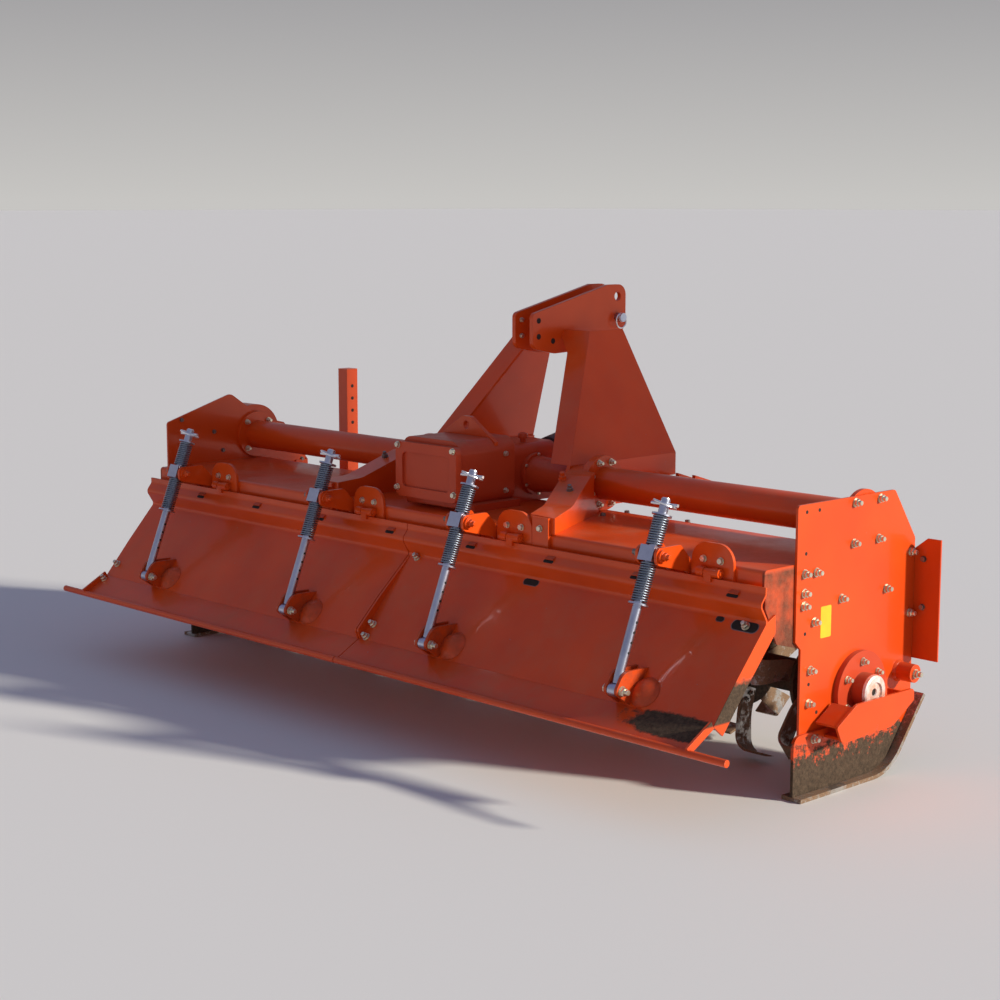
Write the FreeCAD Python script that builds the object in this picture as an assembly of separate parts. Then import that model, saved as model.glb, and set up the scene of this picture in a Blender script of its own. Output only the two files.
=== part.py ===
import FreeCAD
import Part
import math
import os

# Three-metre rotary tiller for a rear three-point linkage.
# Millimetres. X to the machine's right, Y in the direction of travel, Z up, floor at Z = 0.

vector = FreeCAD.Vector
xAxis = vector(1, 0, 0)
yAxis = vector(0, 1, 0)

# Driving dimensions
workHalf = 1500.0          # outer face of each side plate from the middle
plateThick = 8.0
plateGap = 0.3             # clearance between faces that meet

# Rotor
rotorY = 76.0
rotorZ = 279.0
tipRadius = 262.0
rotorTube = 51.0
flangeRadius = 118.0
flangeThick = 12.0
flangeCount = 12
tinesPerFlange = 6
tineThick = 8.0
tineWidth = 62.0
tineReach = 110.0          # sideways reach of a blade from its flange face
tineBend = 38.0            # inner radius of the blade's bend
endGap = 30.0              # outermost blade to the side plate
stubRadius = 32.5
stubClear = 0.4

# Main beam and centre frame
beamY = 100.0
beamZ = 783.0
beamRadius = 55.0
beamWall = 8.0
flangeOuter = 92.0
flangePlate = 14.0
shoulderX = 345.0          # inner face of each shoulder plate
shoulderThick = 16.0
beamStub = 66.0            # stub between shoulder plate and beam flange
shoulderRearY = -40.0
armSplay = 26.6            # right arm, degrees outward, seen from above
armSplayLeft = 5.0
armWidth = 96.0
armShoulder = 100.0        # level top of an arm behind the beam's rear side
armDip = 300.0             # where its top has come down near the hood
armEnd = 50.0              # its height at the hood's rear edge
armFlangeGap = 4.0
armFaceX = 578.0
armFaceLeft = 418.0
armFaceWidth = 70.0
armFaceThick = 12.0

# Hood
hoodZ = 690.0              # top face
hoodThick = 6.0
hoodRearY = -360.0
hoodKneeY = 120.0
hoodFrontY = 345.0
hoodFrontZ = 612.0
hoodSkirtZ = 500.0
hoodRearDrop = 55.0
wingLowZ = 470.0           # wings that close the hood's ends behind the side plates
wingRearZ = 580.0
wingLap = 12.0

# Side plates
plateRearY = -200.0
plateTopY = 240.0
plateFrontY = 350.0
plateTopZ = 860.0
plateShoulderZ = 703.0
plateBottomZ = 95.0
plateStep = 25.0           # the plate reaches further back above the step
plateStepZ = 440.0
drivePlateRearY = -322.0
drivePeakY = -20.0
drivePeakZ = 953.0
driveFrontY = 133.0        # end of the slope in front of the peak

# Front edge angles
edgeLowZ = 330.0
edgeHighZ = 704.0
edgeWide = 92.0
edgeLeg = 55.0
edgeThick = 6.0
edgeCut = 45.0

# Guard in front of the right bearing, seen from the side
guardOut = 92.0
guardThick = 8.0
guardRearY = -141.0
guardRearZ = 216.0
guardTopY = -48.0
guardTopZ = 270.0
guardFrontY = 236.0
guardFrontZ = 233.0
guardLowY = 130.0
guardLowZ = 172.0
guardHeelY = -116.0
guardHeelZ = 165.0

# Skids
skidWidth = 70.0
skidInside = 30.0          # sole reaches this far inside the side plate
skidThick = 12.0
skidRearY = -235.0
skidFlatY = 200.0
skidBend = 160.0
skidFrontY = 372.0
skidFrontZ = 215.0
skidWebThick = 10.0
skidWebTop = 190.0

# Mast
mastBottomZ = 840.0
mastTopZ = 1266.0
mastBottomX = shoulderX + shoulderThick
mastTopX = 172.0
mastBottomRearY = 18.0
mastTopRearY = 303.0
mastBottomFrontY = 545.0
mastTopFrontY = 470.0
mastThick = 10.0
mastFlange = 92.0          # width of the flange along a leg's rear edge
mastKnee = 76.0            # the flange widens to the top link plates above this drop
mastKneeStep = 50.0
linkPlateX = 35.0          # inner face of each top link plate
linkPlateThick = 16.0
linkHoleY = mastTopFrontY + 102.0
linkHoleZ = mastTopZ + 107.0
linkHoleStep = 75.0
linkHoleRadius = 16.25
linkPinRadius = 15.9
linkRim = 42.0
linkRearY = mastTopRearY - 157.0
linkLowZ = mastTopZ - 82.0

# Lower hitch
hitchPinRadius = 18.3
hitchY = 610.0
hitchZ = 688.0
hitchShoulder = 482.5      # outer plate's outer face, where the link's ball stops
hitchGap = 62.0            # between the two plates that hold a pin
hitchPlate = 14.0
hitchShank = 23.0
hitchPinLength = 76.0
hitchBarY = 470.0
hitchBarZ = 722.0
hitchBarSize = 80.0
hitchBarHalf = 575.0
hitchRim = 42.0

# Gearbox
boxHalf = 145.0
boxRearY = -280.0
boxStepY = -30.0           # the housing is narrower and lower in front of this
boxFrontHalf = 112.0
boxFrontTopZ = 888.0
boxFrontY = 205.0
boxBottomZ = 702.0
boxTopZ = 925.0
eyeY = -112.0
eyeTopZ = 989.0
eyeThick = 16.0
eyeHole = 14.0
coverHalf = 152.0
coverBottomZ = 722.0
coverTopZ = 908.0
coverThick = 26.0
trumpetRadius = 57.0
trumpetRim = 16.0
trumpetFlare = 90.0
inputZ = 805.0
inputNose = 70.0
inputRadius = 17.46
inputSeat = 24.0
inputLength = 80.0

# Levelling board
hingeY = -383.5
hingeZ = 665.0
hingePin = 7.0
hingeEye = 14.0
hingeLength = 84.0
hingeDrop = 16.0           # the board's top edge below the hinge
boardThick = 6.0
boardHalf = workHalf + 18.0
lipHalf = 1650.0
seamGap = 2.0
boardUpright = 20.0        # flat for the hinge leaves above the first fold
boardStripY = -410.0
boardStripZ = 600.0
boardFoldY = -378.0
boardFoldZ = 548.0
boardMidY = -500.0
boardMidZ = 411.0
boardLowY = -600.0
boardLowZ = 292.0
lipY = -700.0
lipZ = 236.0
lipBar = 11.0
endFlange = 52.0          # depth of the board's end flanges
flangeTipY = -340.0
flangeTipZ = 566.0
endRib = 18.0
seamRib = 34.0
ribThick = 8.0

# Spring rods
rodXs = (-1190.0, -352.0, 364.0, 1178.0)
rodRadius = 14.0
rodTilt = 21.5
lugY = -630.0
lugZ = 339.0
rodSpan = 400.0            # lug pin to swivel block
rodAbove = 165.0           # rod above the swivel block
lugPin = 8.0
lugEar = 10.0
lugGap = 32.0
lugBase = 112.0           # foot of an ear on the board
lugRim = 20.0
domeAside = 58.0           # dome beside a rod's foot
domeUp = 51.0
domeRadius = 60.0
domeHeight = 26.0
swivelHalf = 23.0          # half height of a swivel block along its rod
swivelWidth = 54.0
swivelDepth = 50.0
swivelBore = 19.0
swivelPin = 11.0
swivelPlate = 10.0
swivelRim = 24.0
springRadius = 24.5
springBore = 18.5
lowerSpring = 122.0
upperSpring = 92.0
collarThick = 5.0
collarRadius = 30.0
rodEye = 20.0

# Parking stand
standX = 115.0 - workHalf
standY = 492.0
standHalf = 27.5
standTop = 1030.0
standFoot = 400.0          # underside of the raised foot
standFootHalf = 60.0
standFootThick = 10.0
standSleeve = 130.0
standWall = 7.0
standClear = 0.6
standSleeveZ = 480.0


def section(x, points, radii=None):
    """Closed outline in a plane across X, with rounded corners where a radius is given."""
    return roundedWire([vector(x, y, z) for y, z in points], radii)


def roundedWire(corners, radii):
    count = len(corners)
    radii = radii or [0.0] * count
    edges = []
    starts = []
    ends = []
    arcs = []
    for i, corner in enumerate(corners):
        before = corners[i - 1] - corner
        after = corners[(i + 1) % count] - corner
        if radii[i] <= 0:
            starts.append(corner)
            ends.append(corner)
            arcs.append(None)
            continue
        half = before.getAngle(after) / 2
        reach = radii[i] / math.tan(half)
        unitBefore = vector(before).normalize()
        unitAfter = vector(after).normalize()
        middle = (unitBefore + unitAfter).normalize()
        centre = corner + middle * (radii[i] / math.sin(half))
        starts.append(corner + unitBefore * reach)
        ends.append(corner + unitAfter * reach)
        arcs.append(centre - middle * radii[i])
    for i in range(count):
        if arcs[i] is not None:
            edges.append(Part.Arc(starts[i], arcs[i], ends[i]).toShape())
        nextStart = starts[(i + 1) % count]
        if ends[i].distanceToPoint(nextStart) > 1e-6:
            edges.append(Part.makeLine(ends[i], nextStart))
    return Part.Wire(edges)


def plateX(points, x, thick, radii=None):
    """Flat plate across X from an outline of (Y, Z) corners."""
    return Part.Face(section(x, points, radii)).extrude(vector(thick, 0, 0))


def plateY(points, y, thick, radii=None):
    """Flat plate across Y from an outline of (X, Z) corners."""
    corners = [vector(x, y, z) for x, z in points]
    return Part.Face(roundedWire(corners, radii)).extrude(vector(0, thick, 0))


def block(x0, x1, y0, y1, z0, z1):
    return Part.makeBox(x1 - x0, y1 - y0, z1 - z0, vector(x0, y0, z0))


def rodX(x0, x1, y, z, radius):
    return Part.makeCylinder(radius, x1 - x0, vector(x0, y, z), xAxis)


def rodY(y0, y1, x, z, radius):
    return Part.makeCylinder(radius, y1 - y0, vector(x, y0, z), yAxis)


def ringX(x0, x1, y, z, outer, inner):
    return rodX(x0, x1, y, z, outer).cut(rodX(x0, x1, y, z, inner))


def mirrored(shape):
    return shape.mirror(vector(0, 0, 0), xAxis)


def fuseAll(shapes):
    return shapes[0].multiFuse(shapes[1:]).removeSplitter()


def leftOffset(points, thick):
    """Corners of a polyline moved to its left by a thickness, and the turn at each corner."""
    count = len(points)
    moved = []
    turns = []
    for i in range(count):
        here = vector(0, *points[i])
        inward = (here - vector(0, *points[i - 1])).normalize() if i > 0 else None
        outward = (vector(0, *points[i + 1]) - here).normalize() if i < count - 1 else None
        inward = inward or outward
        outward = outward or inward
        leftIn = vector(0, -inward.z, inward.y)
        leftOut = vector(0, -outward.z, outward.y)
        middle = (leftIn + leftOut).normalize()
        corner = here + middle * (thick / middle.dot(leftIn))
        moved.append((corner.y, corner.z))
        turns.append(inward.y * outward.z - inward.z * outward.y)
    return moved, turns


def bentSheet(points, bends, thick, x0, x1):
    """Sheet bent along a polyline of (Y, Z) points, its thickness on the left of the path."""
    count = len(points)
    outer, turns = leftOffset(points, thick)
    near = [0.0] * count
    far = [0.0] * count
    for i in range(1, count - 1):
        near[i] = bends + thick if turns[i] > 0 else bends
        far[i] = bends if turns[i] > 0 else bends + thick
    return plateX(points + outer[::-1], x0, x1 - x0, near + far[::-1])


# Beam tubes with their bolted flanges

def beamTube(inner, outer):
    tube = ringX(inner, outer, beamY, beamZ, beamRadius, beamRadius - beamWall)
    inside = ringX(inner, inner + flangePlate, beamY, beamZ, flangeOuter, beamRadius - beamWall)
    outside = ringX(outer - flangePlate, outer, beamY, beamZ, flangeOuter, beamRadius - beamWall)
    return fuseAll([tube, inside, outside])


stubEnd = shoulderX + shoulderThick + beamStub
plateInner = workHalf - plateThick
beamRight = beamTube(stubEnd, plateInner)
beamLeft = mirrored(beamRight)


# Centre frame

def shoulderPlate(x):
    outline = [
        (shoulderRearY, hoodZ),
        (hitchBarY - hitchBarSize / 2, hoodZ),
        (hitchBarY - hitchBarSize / 2, hitchBarZ + hitchBarSize / 2),
        (mastBottomFrontY, hitchBarZ + hitchBarSize / 2),
        (mastBottomFrontY, mastBottomZ),
        (mastBottomRearY, mastBottomZ),
    ]
    return plateX(outline, x, shoulderThick)


def shoulderArm(splay, faceX):
    """Splayed arm from the shoulder down to the hood's rear edge, with an end plate on that edge."""
    reach = (hoodRearY - beamY + beamRadius) / -math.cos(math.radians(splay))
    outline = [
        (60, hoodZ), (60, mastBottomZ), (-armShoulder, mastBottomZ - 14),
        (-armDip, hoodZ + 62), (-reach - 40, hoodZ + armEnd), (-reach - 40, hoodZ),
    ]
    arm = plateX(outline, -armWidth / 2, armWidth, [0, 0, 60, 110, 0, 0])
    arm.rotate(vector(0, 0, 0), vector(0, 0, 1), splay)
    arm.translate(vector(shoulderX + shoulderThick + armWidth / 2, beamY - beamRadius, 0))
    keep = block(shoulderX, workHalf, hoodRearY, beamY, hoodZ, mastBottomZ)
    arm = arm.common(keep).cut(rodX(stubEnd, workHalf, beamY, beamZ, flangeOuter + armFlangeGap))
    face = plateY(
        [(faceX, hoodZ - 44), (faceX + armFaceWidth, hoodZ - 44),
         (faceX + armFaceWidth, hoodZ + armEnd), (faceX, hoodZ + armEnd)],
        hoodRearY - armFaceThick, armFaceThick)
    return [arm, face]


def shoulder(splay, faceX):
    plate = shoulderPlate(shoulderX)
    stubStart = shoulderX + shoulderThick
    tube = ringX(stubStart, stubEnd, beamY, beamZ, beamRadius, beamRadius - beamWall)
    flange = ringX(stubEnd - flangePlate, stubEnd, beamY, beamZ, flangeOuter, beamRadius - beamWall)
    bore = rodX(stubStart, stubEnd, beamY, beamZ, beamRadius - beamWall)
    return fuseAll([plate, tube, flange] + shoulderArm(splay, faceX)).cut(bore)


shoulderRight = shoulder(armSplay, armFaceX)
shoulderLeft = mirrored(shoulder(armSplayLeft, armFaceLeft))
hitchBar = block(
    -hitchBarHalf, hitchBarHalf,
    hitchBarY - hitchBarSize / 2, hitchBarY + hitchBarSize / 2,
    hitchBarZ - hitchBarSize / 2, hitchBarZ + hitchBarSize / 2,
)


# Mast legs: a leaning side panel with a flange along its rear edge

def mastX(z):
    share = (z - mastBottomZ) / (mastTopZ - mastBottomZ)
    return mastBottomX + share * (mastTopX - mastBottomX)


def mastRearY(z):
    share = (z - mastBottomZ) / (mastTopZ - mastBottomZ)
    return mastBottomRearY + share * (mastTopRearY - mastBottomRearY)


def leaningPlate(corners, thick, inward):
    """Plate from one flat outline, thickened towards the inward direction."""
    face = Part.Face(Part.makePolygon(corners + [corners[0]]))
    normal = face.normalAt(0, 0)
    if normal.dot(inward) < 0:
        normal = normal * -1
    return face.extrude(normal * thick)


def mastLeg():
    rearLow = vector(mastBottomX, mastBottomRearY, mastBottomZ)
    rearHigh = vector(mastTopX, mastTopRearY, mastTopZ)
    frontLow = vector(mastBottomX, mastBottomFrontY, mastBottomZ)
    frontHigh = vector(mastTopX, mastTopFrontY, mastTopZ)
    panel = leaningPlate([rearLow, frontLow, frontHigh, rearHigh], mastThick, vector(-1, 0, 0))
    inside = linkPlateX + linkPlateThick
    kneeZ = mastTopZ - mastKnee
    flangeCorners = [
        rearLow,
        rearHigh,
        vector(inside, mastTopRearY, mastTopZ),
        vector(inside, mastRearY(kneeZ + mastKneeStep), kneeZ + mastKneeStep),
        vector(mastX(kneeZ) - mastFlange, mastRearY(kneeZ), kneeZ),
        vector(mastBottomX - mastFlange, mastBottomRearY, mastBottomZ),
    ]
    flange = leaningPlate(flangeCorners, mastThick, yAxis)
    above = block(0, mastBottomX + 1, mastBottomRearY - 20, mastBottomFrontY + 1, mastBottomZ, mastTopZ + 50)
    return fuseAll([panel, flange]).common(above)


# Top link plates

def linkPlate(x):
    outline = [
        (linkRearY, linkHoleZ - 48),
        (linkRearY, linkLowZ + 22),
        (linkRearY + 105, linkLowZ),
        (mastTopFrontY - 60, linkLowZ + 5),
        (linkHoleY + linkRim, linkHoleZ - linkHoleStep - linkRim),
        (linkHoleY + linkRim, linkHoleZ + linkRim),
        (linkHoleY - 50, linkHoleZ + linkRim),
    ]
    plate = plateX(outline, x, linkPlateThick, [20, 30, 40, 30, 38, 38, 30])
    for drop in (0, linkHoleStep):
        plate = plate.cut(rodX(x - 1, x + linkPlateThick + 1, linkHoleY, linkHoleZ - drop, linkHoleRadius))
    return plate


# Gearbox

def roundedBox(x0, x1, y0, y1, z0, z1, radius):
    body = block(x0, x1, y0, y1, z0, z1)
    edges = [e for e in body.Edges if abs(e.tangentAt(e.FirstParameter).y) > 0.9]
    return body.makeFillet(radius, edges)


def gearbox():
    body = roundedBox(-boxHalf, boxHalf, boxRearY, boxStepY, boxBottomZ, boxTopZ, 45)
    front = roundedBox(-boxFrontHalf, boxFrontHalf, boxStepY - 60, boxFrontY, boxBottomZ, boxFrontTopZ, 40)
    nose = Part.makeCone(84, 62, inputNose, vector(0, boxFrontY, inputZ), yAxis)
    foot = block(-boxHalf - 25, boxHalf + 25, boxRearY + 40, boxStepY, hoodZ, boxBottomZ + 12)
    saddle = block(-boxFrontHalf, boxFrontHalf, boxStepY, boxFrontY - 20, hoodZ, boxBottomZ + 45)
    boreStart = boxFrontY - 40
    bore = rodY(boreStart, boxFrontY + inputNose, 0, inputZ, inputSeat + stubClear)
    return fuseAll([body, front, nose, foot, saddle]).cut(bore)


def gearboxCover():
    body = roundedBox(-coverHalf, coverHalf, boxRearY - coverThick, boxRearY, coverBottomZ, coverTopZ, 22)
    recess = roundedBox(
        -coverHalf + 34, coverHalf - 34, boxRearY - coverThick - 1, boxRearY - coverThick + 9,
        coverBottomZ + 34, coverTopZ - 34, 18,
    )
    return body.cut(recess)


def trumpet():
    tube = rodX(boxFrontHalf, shoulderX, beamY, beamZ, beamRadius)
    flange = rodX(boxFrontHalf, boxFrontHalf + 16, beamY, beamZ, trumpetRadius + trumpetRim)
    cone = Part.makeCone(
        trumpetRadius + 6, beamRadius, trumpetFlare, vector(boxFrontHalf + 16, beamY, beamZ), xAxis)
    return fuseAll([tube, flange, cone])


def liftingEye(housing):
    half = boxHalf - 4
    outline = [
        (-half, boxTopZ - 45), (half, boxTopZ - 45), (half, boxTopZ - 14),
        (20, eyeTopZ), (-20, eyeTopZ), (-half, boxTopZ - 14),
    ]
    plate = plateY(outline, eyeY - eyeThick / 2, eyeThick, [0, 0, 0, 18, 18, 0])
    hole = rodY(eyeY - eyeThick, eyeY + eyeThick, 0, eyeTopZ - 30, eyeHole)
    return plate.cut(hole).cut(housing)


# Hood

def hoodTop():
    points = [
        (hoodKneeY, hoodZ - hoodThick),
        (hoodRearY + hoodThick, hoodZ - hoodThick),
        (hoodRearY + hoodThick, hoodZ - hoodRearDrop),
    ]
    half = plateInner - plateGap
    wing = plateX(
        [(hoodRearY + hoodThick, hoodZ - hoodThick), (hoodRearY + hoodThick, wingRearZ),
         (hoodRearY + 60, wingLowZ), (plateRearY + wingLap, wingLowZ - 30),
         (plateRearY + wingLap, hoodZ - hoodThick)],
        half - hoodThick, hoodThick)
    return fuseAll([bentSheet(points[::-1], 6, hoodThick, -half, half), wing, mirrored(wing)])


def hoodFront():
    points = [
        (hoodKneeY + plateGap, hoodZ - hoodThick),
        (hoodFrontY - hoodThick, hoodFrontZ),
        (hoodFrontY - hoodThick, hoodSkirtZ),
    ]
    half = plateInner - edgeThick - 2 * plateGap
    return bentSheet(points, 10, hoodThick, -half, half)


# Side plates

def sidePlateRight():
    outline = [
        (plateRearY, plateBottomZ + 40),
        (plateRearY, plateStepZ),
        (plateRearY - plateStep, plateStepZ + plateStep),
        (plateRearY - plateStep, plateTopZ),
        (plateTopY, plateTopZ),
        (plateFrontY, plateShoulderZ),
        (plateFrontY, plateBottomZ + 135),
        (plateTopY, plateBottomZ),
        (plateRearY + 50, plateBottomZ),
    ]
    plate = plateX(outline, plateInner, plateThick, [0, 0, 0, 12, 14, 14, 10, 20, 20])
    return plate.cut(rodX(plateInner - 1, workHalf + 1, rotorY, rotorZ, stubRadius + 12))


def sidePlateLeft():
    outline = [
        (plateRearY - 30, plateBottomZ + 40),
        (drivePlateRearY, (hoodZ + hoodSkirtZ) / 2 + 15),
        (drivePlateRearY, plateTopZ),
        (drivePeakY, drivePeakZ),
        (driveFrontY, plateTopZ - 14),
        (plateTopY, plateTopZ - 40),
        (plateFrontY, plateShoulderZ),
        (plateFrontY, plateBottomZ + 135),
        (plateTopY, plateBottomZ),
        (plateRearY + 20, plateBottomZ),
    ]
    plate = plateX(outline, -workHalf, plateThick, [10, 40, 14, 30, 20, 14, 14, 10, 20, 20])
    bore = rodX(-workHalf - 1, -plateInner + 1, rotorY, rotorZ, stubRadius + 12)
    shaftBore = rodX(-workHalf - 1, -plateInner + 1, beamY, beamZ, beamRadius - beamWall)
    return plate.cut(bore).cut(shaftBore)


# Side drive case on the left plate

caseDepth = 92.0
caseTopRadius = 118.0
caseLowRadius = 128.0


def driveCase():
    top = vector(-workHalf - caseDepth, beamY, beamZ)
    low = vector(-workHalf - caseDepth, rotorY, rotorZ)
    along = (low - top).normalize()
    side = vector(0, -along.z, along.y)
    corners = [
        top - side * caseTopRadius - along * caseTopRadius,
        top + side * caseTopRadius - along * caseTopRadius,
        low + side * caseLowRadius + along * caseLowRadius,
        low - side * caseLowRadius + along * caseLowRadius,
    ]
    wire = roundedWire(corners, [caseTopRadius * 0.95] * 2 + [caseLowRadius * 0.95] * 2)
    case = Part.Face(wire).extrude(vector(caseDepth, 0, 0))
    bore = rodX(-workHalf - 60, -workHalf + 1, rotorY, rotorZ, stubRadius + stubClear)
    return case.cut(bore)


def driveCover():
    top = vector(-workHalf - caseDepth - 10, beamY, beamZ)
    low = vector(-workHalf - caseDepth - 10, rotorY, rotorZ)
    discs = [
        Part.makeCylinder(76, 10, top, xAxis),
        Part.makeCylinder(84, 10, low, xAxis),
    ]
    return discs


# Bearings

hubRadius = 118.0
hubThick = 18.0
hubCapRadius = 54.0
hubCapDepth = 38.0


def bearingHousing():
    flange = rodX(workHalf, workHalf + hubThick, rotorY, rotorZ, hubRadius)
    cap = rodX(workHalf + hubThick, workHalf + hubThick + hubCapDepth, rotorY, rotorZ, hubCapRadius)
    body = fuseAll([flange, cap])
    return body.cut(rodX(workHalf - 1, workHalf + hubThick + 22, rotorY, rotorZ, stubRadius + stubClear))


def hubGuard():
    """Upright plate off the side plate, held by a rear web, a front web and a shelf."""
    outside = workHalf + guardOut
    inside = workHalf + skidWebThick + plateGap
    outline = [
        (guardRearY, guardRearZ), (guardTopY, guardTopZ), (guardFrontY, guardTopZ),
        (guardFrontY, guardFrontZ), (guardLowY, guardLowZ), (guardHeelY, guardHeelZ),
    ]
    upright = plateX(outline, outside - guardThick, guardThick, [6, 30, 14, 10, 40, 20])
    webs = [
        [(guardRearY + 6, guardRearZ + 2), (guardTopY - 10, guardTopZ - 8)],
        [(guardHeelY + 24, guardHeelZ), (guardLowY - 20, guardLowZ - 1)],
        [(guardFrontY - 14, guardFrontZ + 2), (guardFrontY - 14, guardTopZ - 12)],
    ]
    bends = [bentSheet(path, 0, -guardThick if path is webs[0] else guardThick,
                       inside, outside - guardThick / 2) for path in webs]
    shape = fuseAll([upright] + bends)
    return shape.cut(rodX(workHalf, workHalf + hubThick + 6, rotorY, rotorZ, hubRadius + 6))


# Skids

skidPath = [(skidRearY, 0), (skidFlatY, 0), (skidFrontY, skidFrontZ)]


def skidSole(x0):
    return bentSheet(skidPath, skidBend, skidThick, x0, x0 + skidWidth)


def skidWeb(x0):
    """Upright web on the sole's upper face, cut away round the bearing."""
    top = leftOffset(skidPath, skidThick)[0]
    rise = (skidWebTop - top[1][1]) / (top[2][1] - top[1][1])
    frontY = top[1][0] + rise * (top[2][0] - top[1][0])
    outline = [top[0], top[1], (frontY, skidWebTop), (skidRearY, skidWebTop)]
    web = plateX(outline, x0, skidWebThick, [0, skidBend, 0, 30])
    return web.cut(rodX(x0 - 1, x0 + skidWebThick + 1, rotorY, rotorZ, hubRadius + 4))


# Front edge angle: a leg inside the side plate and a leg standing out in front of its edge

def edgeAngle():
    inside = plateInner - plateGap - edgeThick
    front = plateFrontY + plateGap
    leg = block(inside, inside + edgeThick, front - edgeLeg, front + edgeThick, edgeLowZ, edgeHighZ - edgeCut)
    outward = plateY(
        [(inside, edgeLowZ), (workHalf + edgeWide, edgeLowZ), (workHalf + edgeWide, edgeHighZ),
         (workHalf + edgeCut, edgeHighZ), (inside, edgeHighZ - edgeCut)],
        front, edgeThick)
    return fuseAll([leg, outward])


# Lower hitch

def hitchPlates():
    plates = []
    outline = [
        (hitchBarY + hitchBarSize / 2, hitchBarZ - 52),
        (hitchY, hitchZ - hitchRim),
        (hitchY + hitchRim, hitchZ - hitchRim),
        (hitchY + hitchRim, hitchZ + hitchRim),
        (hitchBarY + hitchBarSize / 2, hitchBarZ + 52),
    ]
    for x in (hitchShoulder - 2 * hitchPlate - hitchGap, hitchShoulder - hitchPlate):
        plate = plateX(outline, x, hitchPlate, [0, 10, 36, 36, 0])
        plates.append(plate.cut(rodX(x - 1, x + hitchPlate + 1, hitchY, hitchZ, hitchShank + plateGap)))
    return plates


def hitchPin():
    start = hitchShoulder - 2 * hitchPlate - hitchGap - 14
    shank = rodX(start, hitchShoulder, hitchY, hitchZ, hitchShank)
    end = rodX(hitchShoulder, hitchShoulder + hitchPinLength, hitchY, hitchZ, hitchPinRadius)
    return fuseAll([shank, end])


# Rotor

tineHalfPitch = 360.0 / tinesPerFlange


def tineBlade(side):
    """One blade standing up from the rotor axis, bent to the given side."""
    outer = tipRadius
    face = tineThick
    reach = side * tineReach
    bendOut = tineBend + face
    near = side * flangeThick / 2
    corners = [
        vector(near, 0, rotorTube + 14),
        vector(near + side * face, 0, rotorTube + 14),
        vector(near + side * face, 0, outer - face),
        vector(near + reach, 0, outer - face),
        vector(near + reach, 0, outer),
        vector(near, 0, outer),
    ]
    wire = roundedWire(corners, [0, 0, tineBend, 0, 0, bendOut])
    profile = Part.Face(wire)
    profile.translate(vector(0, -tineWidth * 1.6, 0))
    slab = profile.extrude(vector(0, tineWidth * 3.2, 0))
    half = tineWidth / 2
    outline = [
        (-half + 4, rotorTube + 10),
        (half - 4, rotorTube + 10),
        (half, flangeRadius + 20),
        (half - 34, outer + 6),
        (-half - 52, outer + 6),
        (-half - 4, flangeRadius + 30),
    ]
    shape = plateX(outline, -tineReach - 20, 2 * tineReach + 40, [0, 0, 120, 0, 0, 160])
    blade = slab.common(shape)
    cap = rodX(-tineReach - 20, tineReach + 20, 0, 0, outer)
    return blade.common(cap)


def flangePlaces():
    half = plateInner - endGap - tineReach - flangeThick / 2
    step = 2 * half / (flangeCount - 1)
    return [-half + i * step for i in range(flangeCount)]


def rotorShaft():
    pieces = [rodX(-plateInner + 12, plateInner - 12, rotorY, rotorZ, rotorTube)]
    for x in flangePlaces():
        pieces.append(rodX(x - flangeThick / 2, x + flangeThick / 2, rotorY, rotorZ, flangeRadius))
    pieces.append(rodX(plateInner - 12, workHalf + hubThick + 12, rotorY, rotorZ, stubRadius))
    pieces.append(rodX(-workHalf - 50, -plateInner + 12, rotorY, rotorZ, stubRadius))
    return fuseAll(pieces)


def tines():
    blades = {1: tineBlade(1), -1: tineBlade(-1)}
    placed = []
    twist = 360.0 / flangeCount / 2 + 17
    for row, x in enumerate(flangePlaces()):
        for place in range(tinesPerFlange):
            side = 1 if place % 2 == 0 else -1
            blade = blades[side].copy()
            blade.rotate(vector(0, 0, 0), xAxis, -place * tineHalfPitch - row * twist)
            blade.translate(vector(x, rotorY, rotorZ))
            placed.append(blade)
    return placed


# Input shaft

def inputShaft():
    start = boxFrontY - 30
    inside = rodY(start, boxFrontY + inputNose + 12, 0, inputZ, inputSeat)
    stub = rodY(boxFrontY + inputNose + 12, boxFrontY + inputNose + 12 + inputLength, 0, inputZ, inputRadius)
    return fuseAll([inside, stub])


# Levelling board

boardTopY = hingeY - 3
boardTopZ = hingeZ - hingeDrop
boardPath = [
    (boardTopY, boardTopZ),
    (boardTopY, boardTopZ - boardUpright),
    (boardStripY, boardStripZ),
    (boardFoldY, boardFoldZ),
    (boardMidY, boardMidZ),
    (boardLowY, boardLowZ),
]


def boardPanel():
    """Right panel with its end flange, and the rib along the middle seam."""
    sheet = bentSheet(boardPath, 14, boardThick, seamGap, boardHalf)
    inner = leftOffset(boardPath[3:], endFlange)[0]
    flange = plateX(boardPath[3:] + inner[::-1] + [(flangeTipY, flangeTipZ)], boardHalf - ribThick, ribThick)
    rib = plateX(
        [boardPath[3], boardPath[4], boardPath[5],
         (boardLowY - seamRib * 0.4, boardLowZ + seamRib * 0.9), (boardMidY - 14, boardMidZ + 13)],
        seamGap, ribThick, [0, 0, 0, 16, 30])
    return fuseAll([sheet, flange, rib])


def lipStrip():
    inward = vector(0, lipY - boardLowY, lipZ - boardLowZ).normalize()
    start = vector(0, boardLowY, boardLowZ) + inward * plateGap
    path = [(start.y, start.z), (lipY, lipZ)]
    strip = bentSheet(path, 1, boardThick, seamGap, boardHalf)
    rib = bentSheet(path, 1, -endRib, boardHalf - ribThick, boardHalf)
    bar = rodX(seamGap, lipHalf, lipY, lipZ, lipBar)
    return fuseAll([strip, rib, bar])


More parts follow.
